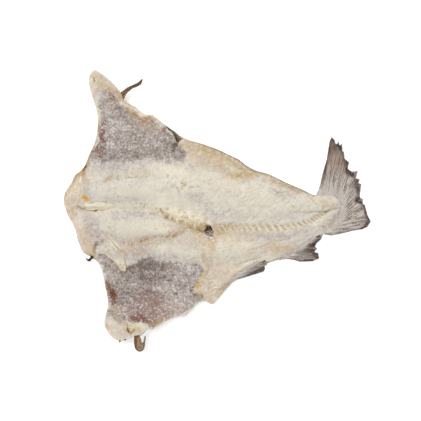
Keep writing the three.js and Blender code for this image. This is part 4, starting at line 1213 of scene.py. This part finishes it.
def belly_lining(tree, grains, marked):
    """Colour of the belly lining: a thin grey-brown membrane with dark specks and salt dried on it."""
    wet = weighed(
        tree, 0.0,
        (grains["fine"], 0.48), (grains["clumps"], 0.3), (grains["patches"], 0.22),
        (marked["murk"], 0.06), (marked["frost"], -0.045),
    )
    colour = laid(tree, linear("#a59a93"), linear("#a0948c"), grains["broad"], 0.38, 0.62)
    colour = stained_or_shaded(tree, colour, "maroon", "#8d6d65", "#7b5950", grains["patches"], grains["clumps"], 3)
    colour = laid(tree, colour, linear("#d2cbc7"), wet, 0.5, 0.38)
    colour = laid(tree, colour, linear("#71645e"), wet, 0.5, 0.61)
    return stained_or_shaded(tree, colour, "tawny", "#b39d8c", "#a89080", grains["patches"], grains["fine"], 3)


def salted_flesh():
    """Salted, air-dried cod flesh: matt and chalky, with faint fibres and salt dried in clumps."""
    material, tree, shader, coords = new_material("salted dried flesh", 0.9)
    grains = {
        "broad": grain(tree, coords, 34, 3),
        "patches": grain(tree, coords, 11, 3, shift=0.3),
        "clumps": grain(tree, coords, 8, 6, roughness=0.8, shift=0.5),
        "fine": grain(tree, coords, 3.4, 3, shift=0.7),
    }
    marked = {
        name: node(tree, "ShaderNodeAttribute", output="Fac", attribute_name=name) for name in READ_MARKS
    }
    fibre = muscle(tree, coords, marked)
    lining = weighed(tree, -1.3, (grains["clumps"], 2.6), (marked["lining"], 1.0))
    colour = meat(tree, grains, fibre, marked)
    colour = laid(tree, colour, belly_lining(tree, grains, marked), lining, 0.15, 0.85)
    colour = overlaid(tree, colour, TOP_STAINS_SHADE_AND_HIGHLIGHTS, grains)
    height = weighed(tree, grains["clumps"], (fibre, 0.6))
    surfaced(tree, shader, colour, height, 0.6, 1.0)
    return material


SCALE_SIZE = 2.2  # small cod scales, in millimetres


def dried_skin():
    """Dried cod skin: thin, dull and leathery, grey-brown with pale flecks where the small scales were."""
    material, tree, shader, coords = new_material("dried skin", 0.6)
    mottle = grain(tree, coords, 26, 4)
    flecks = grain(tree, coords, 4, 3, shift=0.4)
    scales = node(
        tree, "ShaderNodeTexVoronoi", {"Vector": coords, "Scale": 1 / (SCALE_SIZE * MM)}, output="Distance"
    )
    colour = laid(tree, linear("#8b8075"), linear("#675d53"), mottle, 0.36, 0.64)
    colour = stained_or_shaded(tree, colour, "pale belly", "#b7ab9c", "#a59a8c", mottle, flecks)
    colour = stained_or_shaded(tree, colour, "side line", "#c4b9a7", "#b5a996", flecks, flecks)
    colour = laid(tree, colour, linear("#c9c0b3"), flecks, 0.56, 0.68, 0.5)
    surfaced(tree, shader, colour, scales, 0.3, 0.4)
    return material


STREAKS_ACROSS = 2.6  # streaks of colour for each ray
STREAKS_OUT = 1.8  # and from the root to the margin


def dried_fin(name, dark, pale, warm, rays, softness):
    """Dried fin: dark stiff rays in a paler web, dusted with salt at its root and dark at its torn edge.

    `warm` is the two colours of its warmer part, and `softness` is how gradually dark turns to pale.
    """
    material, tree, shader, coords = new_material(name, 0.75)
    ray = node(tree, "ShaderNodeAttribute", output="Fac", attribute_name="ray")
    reach = node(tree, "ShaderNodeAttribute", output="Fac", attribute_name="reach")
    across = weighed(tree, 0.0, (ray, rays * STREAKS_ACROSS))
    out = weighed(tree, 0.0, (reach, STREAKS_OUT))
    streaks = node(
        tree, "ShaderNodeTexNoise",
        {
            "Vector": node(tree, "ShaderNodeCombineXYZ", {0: across, 1: out}),
            "Scale": 1.0,
            "Detail": 3.0,
            "Roughness": 0.7,
        },
        output="Fac",
    )
    fine = grain(tree, coords, 3, 3)
    cloud = grain(tree, coords, 16, 3)
    web = weighed(tree, 0.0, (streaks, 0.75), (fine, 0.25))
    colour = laid(tree, linear(dark), linear(pale), web, 0.49 - softness, 0.49 + softness)
    colour = stained_or_shaded(tree, colour, "warm", *warm, streaks, cloud, 2)
    colour = stained_or_shaded(tree, colour, "bloom", "#cbc3bb", "#b9b0a7", cloud, streaks, 4)
    colour = stained_or_shaded(tree, colour, "margin", "#544842", "#372c27", cloud, streaks, 7)
    surfaced(tree, shader, colour, web, 0.4, 0.5)
    return material


def chalky(name, one, other, size):
    """A dry, matt material that varies between two colours in grains of `size` millimetres."""
    material, tree, shader, coords = new_material(name, 0.85)
    fine = grain(tree, coords, size, 3)
    colour = laid(tree, linear(one), linear(other), fine, 0.38, 0.62)
    surfaced(tree, shader, colour, fine, 0.3, 0.4)
    return material


# ---------------------------------------------------------------- pieces

# Roots and margins of the fins, between which their rays fan out
TAIL_RAY_ROOT = [
    (203, 40), (212, 40), (226, 35), (236, 26), (241, 12), (241, -4), (239, -17), (233, -30), (222, -43),
]
TAIL_RAY_MARGIN = [
    (217, 143), (229, 134), (243, 114), (257, 92), (272, 66), (279, 42), (287, 10), (297, -18), (284, -38),
]
REAR_ANAL_ROOT = [(114, -97), (120, -91), (138, -85), (162, -70), (184, -54)]
REAR_ANAL_MARGIN = [(140, -96), (190, -98), (197, -88), (194, -70), (203, -50)]
FRONT_ANAL_ROOT = [(16, -150), (20, -142), (36, -128), (54, -114), (72, -102)]
FRONT_ANAL_MARGIN = [(56, -130), (88, -120), (94, -113), (97, -106), (98, -99)]

# Where each fin is dark: paths of (x, y, half width, strength)
FIN_SHADES = {
    "tail_fin": [
        [(202, 48, 4, 0.5), (206, 70, 5, 0.9), (213, 100, 4, 0.8), (219, 136, 5, 0.8)],
        [(222, 141, 6, 0.9), (230, 132, 7, 1), (237, 128, 6, 1), (240, 120, 5, 0.9)],
        [(222, 138, 16, 0.6), (230, 124, 18, 0.5), (232, 106, 16, 0.2)],
        [(241, 122, 4, 0.6), (245, 108, 4.5, 0.7)],
        [(247, 102, 6, 0.9), (252, 92, 8, 1), (254, 82, 8, 1), (258, 74, 9, 1), (266, 66, 5, 0.6)],
        [(272, 62, 4, 0.7), (272, 52, 8, 0.8), (274, 40, 7, 0.8), (276, 32, 5, 0.6)],
        [(276, 26, 6, 0.9), (271, 20, 6, 0.8), (280, 17, 5, 1)],
        [(284, 10, 5, 0.8), (290, -4, 6, 0.9), (295, -19, 8, 0.9), (288, -30, 6, 0.6), (280, -36, 5, 0.7)],
        [
            (282, -36, 5, 0.8), (262, -40, 6, 0.8), (242, -45, 6, 0.7), (222, -48, 8, 0.9),
            (208, -46, 7, 0.8),
        ],
    ],
    "rear_anal_fin": [
        [(168, -64, 5, 0.3), (182, -66, 9, 0.8), (192, -62, 7, 0.9)],
        [(191, -58, 6, 0.9), (200, -50, 5, 0.8)],
        [(160, -76, 5, 0.3), (176, -77, 7, 0.7), (190, -78, 5, 0.8)],
        [(188, -84, 6, 0.9), (195, -91, 6, 1)],
        [(136, -92, 2, 0.3), (150, -95, 3, 0.5), (165, -97, 3, 0.6), (185, -96, 3.5, 0.8)],
    ],
    "front_anal_fin": [
        [(18, -146, 6, 0.9), (40, -132, 8, 1), (60, -124, 8, 1), (76, -117, 8, 0.9), (92, -112, 7, 1)],
        [(72, -108, 5, 0.4), (86, -104, 5, 0.6), (94, -100, 3, 0.5)],
    ],
}

FAN_STEPS = 400
OFF_FAN = 0.3  # how far past root and margin a ray still counts, as a share of its length
OFF_FAN_COST = 20  # and how many millimetres aside each length past that counts for


def fan(root, margin, x, y):
    """Where a point lies in a fan of fin rays: its share across the fan, and its share of the way out."""
    share = np.linspace(0, 1, FAN_STEPS)
    knots = np.linspace(0, 1, len(root)), np.linspace(0, 1, len(margin))
    start = np.column_stack([np.interp(share, knots[0], [p[k] for p in root]) for k in (0, 1)])
    end = np.column_stack([np.interp(share, knots[1], [p[k] for p in margin]) for k in (0, 1)])
    across, reach, best = np.zeros(x.shape), np.zeros(x.shape), np.full(x.shape, np.inf)
    for s, p, q in zip(share, start, end):
        step = q - p
        out = ((x - p[0]) * step[0] + (y - p[1]) * step[1]) / (step @ step)
        side = np.abs((x - p[0]) * step[1] - (y - p[1]) * step[0]) / np.hypot(*step)
        past = np.clip(-OFF_FAN - out, 0, None) + np.clip(out - 1 - OFF_FAN, 0, None)
        cost = side + OFF_FAN_COST * past
        near = cost < best
        best = np.where(near, cost, best)
        across = np.where(near, s, across)
        reach = np.where(near, out, reach)
    return across, reach


def flesh():
    """The flesh side: loins, belly flaps, belly lining and what the knife left of the backbone."""
    ring = torn(flowing(BODY_POINTS, FLESH_SPACING), depth=0.7, cell=9, seed=20)
    piece = slab(
        "flesh", ring,
        lambda x, y: flesh_side(x, y, finish_strength("lining", x, y)),
        lambda x, y: skin_side(x, y) + 0.5 * SKIN_THICK,
        spacing=FLESH_SPACING, under_spacing=UNDER_SPACING, rim=(0.5, 1.3, 2.6),
    )
    x, y, _ = places(piece)
    marks = {name: finish_strength(name, x, y) for name in FINISHES}
    bar, hollow = bones(x, y)
    gaps = smooth_step(-crumbs(x, y), 0.15, 0.9)
    painted_hollow_shade = np.maximum(0.8 * hollow, 0.6 * gaps)  # painted shade in the hollows between the bars and between the crumbs; the bars stay pale
    marks["tan"] = np.maximum(marks["tan"], painted_hollow_shade) * (1 - 0.8 * bar)
    marks["cream"] = np.maximum(marks["cream"], 0.8 * bar)
    marks["lower side"] = below_back(x, y)
    marks["neck side"] = 1 - smooth_step(x, -120, 0)
    for name, values in marks.items():
        mark(piece, name, values)
    return piece


BARE_START = (-40, 0)  # x where the skin comes to show past the flesh
BARE_END = (170, 195)  # and where it stops
BARE_SIDE = 20  # y over which it does
BARE_WIDTH = 1.1
BARE_RISE = 1.2  # how much higher its upper face lies there
TUCKED_IN = 0.4  # how far inside the outline its edge lies elsewhere
SIDE_LINE = 34  # from the middle of the back
PALE_BELLY = (60, 150)  # and over which the skin turns pale towards the belly


def skin():
    """The skin under the flesh, which shows past it along the upper edge of the tail stock."""
    ring = flowing(BODY_POINTS, UNDER_SPACING * 0.6)
    bare = smooth_step(ring[:, 0], *BARE_START) * (1 - smooth_step(ring[:, 0], *BARE_END))
    shown = BARE_WIDTH * bare * (ring[:, 1] > BARE_SIDE) - TUCKED_IN
    ring = torn(ring + outward(ring) * shown[:, None], depth=0.4, cell=12, seed=24)

    def top(x, y):
        raised = (y > BARE_SIDE) * smooth_step(x, *BARE_START)
        return skin_side(x, y) + SKIN_THICK + BARE_RISE * raised

    piece = slab(
        "skin", ring, top, skin_side,
        spacing=UNDER_SPACING, under_spacing=UNDER_SPACING, rim=(0.8,),
    )
    x, y, _ = places(piece)
    away = distance_to(BACK_LINE, x, y)
    stripe = 1 - smooth_step(np.abs(away - SIDE_LINE - 3 * soft_noise(x, y, 40, 74)), 1.2, 3)
    mark(piece, "side line", stripe * smooth_step(edge_distance(BODY_RING, x, y), 4, 14))
    belly = smooth_step(away + 12 * rough_noise(x, y, 30, 70), *PALE_BELLY)
    mark(piece, "pale belly", belly * smooth_step(edge_distance(BODY_RING, x, y), 1, 5))
    return piece


def fin(name, outline, root, margin, over=0.4, pale_reach=0.4):
    """A fin of rays that fan out from its root.

    `over` is how far it stands over flesh that it crosses, and `pale_reach` is the share of its rays
    that is dusted with salt.
    """
    ring = torn(evenly(np.array(outline, float), FIN_SPACING), depth=0.4, cell=5, seed=30 + len(name))

    def top(x, y):
        across, reach = fan(root, margin, x, y)
        rays = RAY_RISE * np.sin(across * FIN_RAYS * math.tau + soft_noise(x, y, 14, 84))
        branches = BRANCH_RISE * np.sin(across * 2 * FIN_RAYS * math.tau) * smooth_step(reach, 0.4, 0.8)
        taper = FIN_TAPER * smooth_step(reach, 0.3, 1)
        bare = skin_side(x, y) + FIN_THICK + rays + branches - taper
        return np.maximum(bare, skin_side(x, y) + thickness(x, y) + over) if over else bare

    def under(x, y):
        return skin_side(x, y) + FIN_LIFT

    piece = slab(name, ring, top, under, spacing=FIN_SPACING, under_spacing=3.0, rim=(0.2, 0.6, 1.1))
    x, y, _ = places(piece)
    across, reach = fan(root, margin, x, y)
    ragged = reach + 0.12 * rough_noise(x, y, 9, 86)
    free = smooth_step(-edge_distance(BODY_RING, x, y), 0, 3)
    outline_ray = 0.4 * (1 - smooth_step(edge_distance(ring, x, y), 0.5, 2.5))
    mark(piece, "ray", across)
    mark(piece, "reach", reach)
    mark(piece, "bloom", 0.9 * (1 - smooth_step(ragged, 0.1 * pale_reach, pale_reach)))
    mark(piece, "warm", np.maximum(0.9 * smooth_step(y, 45, 110), 0.1 * smooth_step(reach, 0.4, 0.9)))
    mark(piece, "margin", free * np.maximum(outline_ray, stroked(FIN_SHADES[name], *wandering(x, y))))
    return piece


def middle_at(root):
    """Height of the middle of the belly flap at a place, from which a thin piece grows."""
    return float(skin_side(*root[:, None])[0]) + FLAP_THICK / 2


def pectoral(name, outline):
    """A pectoral fin dried to a curled strap, with its rays lengthwise."""
    ring = torn(flowing(outline, 1.0), depth=0.4, cell=4, seed=34 + len(name))
    root = np.array(outline[0], float)
    middle = middle_at(root)

    def under(x, y):
        return np.full(x.shape, middle - 1.4)

    def top(x, y):
        inside = edge_distance(ring, x, y)
        return middle + 1.0 + 0.5 * np.sin(inside * math.tau / 2.4) + 0.3 * soft_noise(x, y, 5, 90)

    piece = slab(name, ring, top, under, spacing=0.9, under_spacing=2.0, rim=(0.5, 1.2))
    x, y, _ = places(piece)
    mark(piece, "ray", edge_distance(ring, x, y) / 16)
    mark(piece, "reach", np.hypot(x - root[0], y - root[1]) / 60)
    mark(piece, "bloom", np.zeros(x.shape))
    mark(piece, "warm", 1 - smooth_step(x - root[0], 5, 10))
    mark(piece, "margin", 0.8 * (1 - smooth_step(edge_distance(ring, x, y), 0, 1.8)))
    return piece


# Where the loose strip joins the loin
STRIP_JOIN = [(-230, -68), (-218, -64), (-206, -68), (-196, -78), (-186, -86)]


def loose_strip():
    """A strip of fin base that lies loose on the lower belly lining and joins the loin beside it."""
    ring = torn(flowing(LOOSE_STRIP, 1.2), depth=0.5, cell=5, seed=28)

    def base(x, y):
        return skin_side(x, y) + thickness(x, y)

    def top(x, y):
        loose = smooth_step(distance_to(STRIP_JOIN, x, y) + 2 * rough_noise(x, y, 8, 88), 0, 7)
        lumps = 0.5 * rough_noise(x, y, 7, 92) + 0.3 * rough_noise(x, y, 3, 93)
        return base(x, y) + 0.2 + 2.2 * loose + lumps

    def under(x, y):
        return base(x, y) - 1.6

    piece = slab("loose_strip", ring, top, under, spacing=1.2, under_spacing=4, rim=(0.4, 1.0))
    x, y, _ = places(piece)
    finger = smooth_step(-y, 88, 100)
    oily = 0.6 * hump([(-211, -76, 5, 1), (-209, -86, 5, 1)], x, y)
    marks = {
        "cream": 0.15 + 0.4 * finger,
        "bloom": 0.35 * (1 - finger),
        "tan": np.maximum(oily, 0.45 * smooth_step(-y, 94, 108)),
        "rim": 0.5 * (1 - smooth_step(edge_distance(ring, x, y), 0.4, 1.6)),
        "neck side": np.ones(x.shape),
    }
    for name in MARKS:
        mark(piece, name, marks.get(name, np.zeros(x.shape)))
    return piece


MEMBRANE = [
    (-153, -230), (-144, -226), (-135, -229), (-138, -238), (-141.5, -246), (-144, -252),
    (-145.5, -257), (-148.5, -249), (-151, -239),
]


def membrane():
    """A shred of clear skin dried between the lower wing and the arms of its pectoral fin."""
    ring = torn(flowing(MEMBRANE, 1.0), depth=0.3, cell=4, seed=38)
    middle = middle_at(np.array(LOWER_PECTORAL[0], float))

    def top(x, y):
        return middle + 0.3 + 0.3 * soft_noise(x, y, 6, 91)

    def under(x, y):
        return top(x, y) - 0.5

    return slab("fin_membrane", ring, top, under, spacing=1.0, under_spacing=1.5, rim=(0.25,))


# Small lumps: (x, y, height over the level of the flesh, half length, half width, half height)
NECK_SCRAPS = [
    (-250, -95.5, 0, 3.8, 2.6, 1.6), (-244.5, -90.5, 0.5, 3.2, 2.8, 1.6), (-255, -93, 0, 1.6, 1.3, 1.2),
    (-247, -93, 0, 2.2, 1.8, 1.2), (-189, -252, 0, 1.4, 1.8, 1), (-178.5, -249, 0, 1.8, 1.4, 1),
]
BONE_ENDS = [
    (-18.5, -40, 0.5, 1.3, 1.1, 0.9), (-15.5, -41.5, 0.6, 1.5, 1, 0.9), (-12.3, -40.5, 0.5, 1.1, 1.5, 1),
    (-19.5, -44, 0.3, 1.4, 1.2, 0.9), (-16, -45, 0.5, 1.7, 1.2, 1), (-12.5, -44.5, 0.5, 1.2, 1.4, 1),
    (-9.5, -46, 0.3, 1.1, 1.6, 1), (-21, -48, 0.3, 1.8, 1.1, 0.9), (-17, -49, 0.4, 2.2, 1, 0.9),
    (-12.5, -49, 0.4, 1.9, 1.2, 0.9), (-14.5, -37.5, 0.3, 1, 0.8, 0.7), (-17.5, -51.5, 0.3, 2.4, 0.9, 0.8),
]


# ---------------------------------------------------------------- floor, light and camera

FLOOR = 6.0  # half its length, in metres
FLOOR_DROP = 0.0005  # keeps it clear of the skin
PAPER_GLOW = 0.32  # a bright sweep, as of a light table
SKY_STRENGTH = 0.74
SUN_STRENGTH = 1.35
SUN_ANGLE = math.radians(30)  # wide, for soft shadows
SUN_FROM = (-0.5, 0.5, 0.9)
CAMERA_HEIGHT = 3.0
FLESH_HEIGHT = 0.01  # of the flesh over the floor, which the camera is set for
VIEW_WIDTH = 0.8167  # what the camera sees across, at that height
VIEW_CENTRE = (-0.0136, 0.001)
SENSOR = 36.0  # in millimetres
WHITE = (1, 1, 1, 1)


def paper_floor():
    """A wide sheet of bright white paper."""
    corners = [(-FLOOR, -FLOOR, 0), (FLOOR, -FLOOR, 0), (FLOOR, FLOOR, 0), (-FLOOR, FLOOR, 0)]
    mesh = bpy.data.meshes.new("floor")
    mesh.from_pydata(corners, [], [(0, 1, 2, 3)])
    paper = chalky("white paper", "#fbfbfb", "#fdfdfd", 60)
    glow = paper.node_tree.nodes["Principled BSDF"].inputs
    glow["Emission Color"].default_value = WHITE
    glow["Emission Strength"].default_value = PAPER_GLOW
    mesh.materials.append(paper)
    floor = placed("floor", mesh)
    floor.location.z = -FLOOR_DROP
    return floor


def studio_light():
    """An even white sky and one broad, soft sun from the upper left."""
    world = bpy.data.worlds.new("studio")
    world.use_nodes = True
    sky = world.node_tree.nodes["Background"].inputs
    sky["Color"].default_value = WHITE
    sky["Strength"].default_value = SKY_STRENGTH
    bpy.context.scene.world = world
    lamp = bpy.data.lights.new("key light", "SUN")
    lamp.energy = SUN_STRENGTH
    lamp.angle = SUN_ANGLE
    placed("key light", lamp).rotation_euler = Vector(SUN_FROM).to_track_quat("Z", "Y").to_euler()


def camera_above():
    """A camera that looks straight down on the fish."""
    lens = bpy.data.cameras.new("camera")
    lens.sensor_width = SENSOR
    lens.lens = SENSOR * CAMERA_HEIGHT / VIEW_WIDTH
    camera = placed("camera", lens)
    camera.location = (*VIEW_CENTRE, CAMERA_HEIGHT + FLESH_HEIGHT)
    bpy.context.scene.camera = camera


# ---------------------------------------------------------------- the fish

FLESH_FINISH = salted_flesh()
TAIL_FINISH = dried_fin(
    "dried tail fin", "#72645c", "#c9bfb7", ("#6f5448", "#b5a194"), rays=26, softness=0.085
)
ANAL_FINISH = dried_fin(
    "dried anal fin", "#5a4f49", "#b0a59b", ("#62564f", "#a0958a"), rays=14, softness=0.07
)
DARK_STRAP_FINISH = dried_fin(
    "dried dark pectoral fin", "#4a3626", "#9a8468", ("#6a4a2e", "#8a6a4a"), rays=3, softness=0.08
)
TAN_STRAP_FINISH = dried_fin(
    "dried tan pectoral fin", "#5f4934", "#b39d80", ("#6b4725", "#7e5a38"), rays=3, softness=0.08
)
MEMBRANE_FINISH = chalky("dried clear membrane", "#f7f4f0", "#e6e0d9", 5)  # cloudy, nearly white
SCRAP_FINISH = chalky("black skin scraps", "#16120f", "#3a322c", 1.5)  # dull, brown on the crests
BONE_FINISH = chalky("cut bone", "#8d817b", "#dcd4cb", 2)  # porous, grey in its pores
dressed = [
    (flesh(), FLESH_FINISH),
    (skin(), dried_skin()),
    (loose_strip(), FLESH_FINISH),
    (fin("tail_fin", TAIL_FIN, TAIL_RAY_ROOT, TAIL_RAY_MARGIN, over=0, pale_reach=0.35), TAIL_FINISH),
    (fin("rear_anal_fin", ANAL_FIN_REAR, REAR_ANAL_ROOT, REAR_ANAL_MARGIN), ANAL_FINISH),
    (fin("front_anal_fin", ANAL_FIN_FRONT, FRONT_ANAL_ROOT, FRONT_ANAL_MARGIN), ANAL_FINISH),
    (pectoral("upper_pectoral_fin", UPPER_PECTORAL), DARK_STRAP_FINISH),
    (pectoral("lower_pectoral_fin", LOWER_PECTORAL), TAN_STRAP_FINISH),
    (membrane(), MEMBRANE_FINISH),
    (crumbled("skin_scraps", NECK_SCRAPS, roughness=0.35, seed=94), SCRAP_FINISH),
    (crumbled("bone_ends", BONE_ENDS, roughness=0.4, seed=96), BONE_FINISH),
]
for piece, material in dressed:
    piece.data.materials.append(material)
    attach(piece, "root")
    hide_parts("split_cod")

floor = paper_floor()
studio_light()
camera_above()
bpy.context.scene.view_settings.view_transform = "Standard"
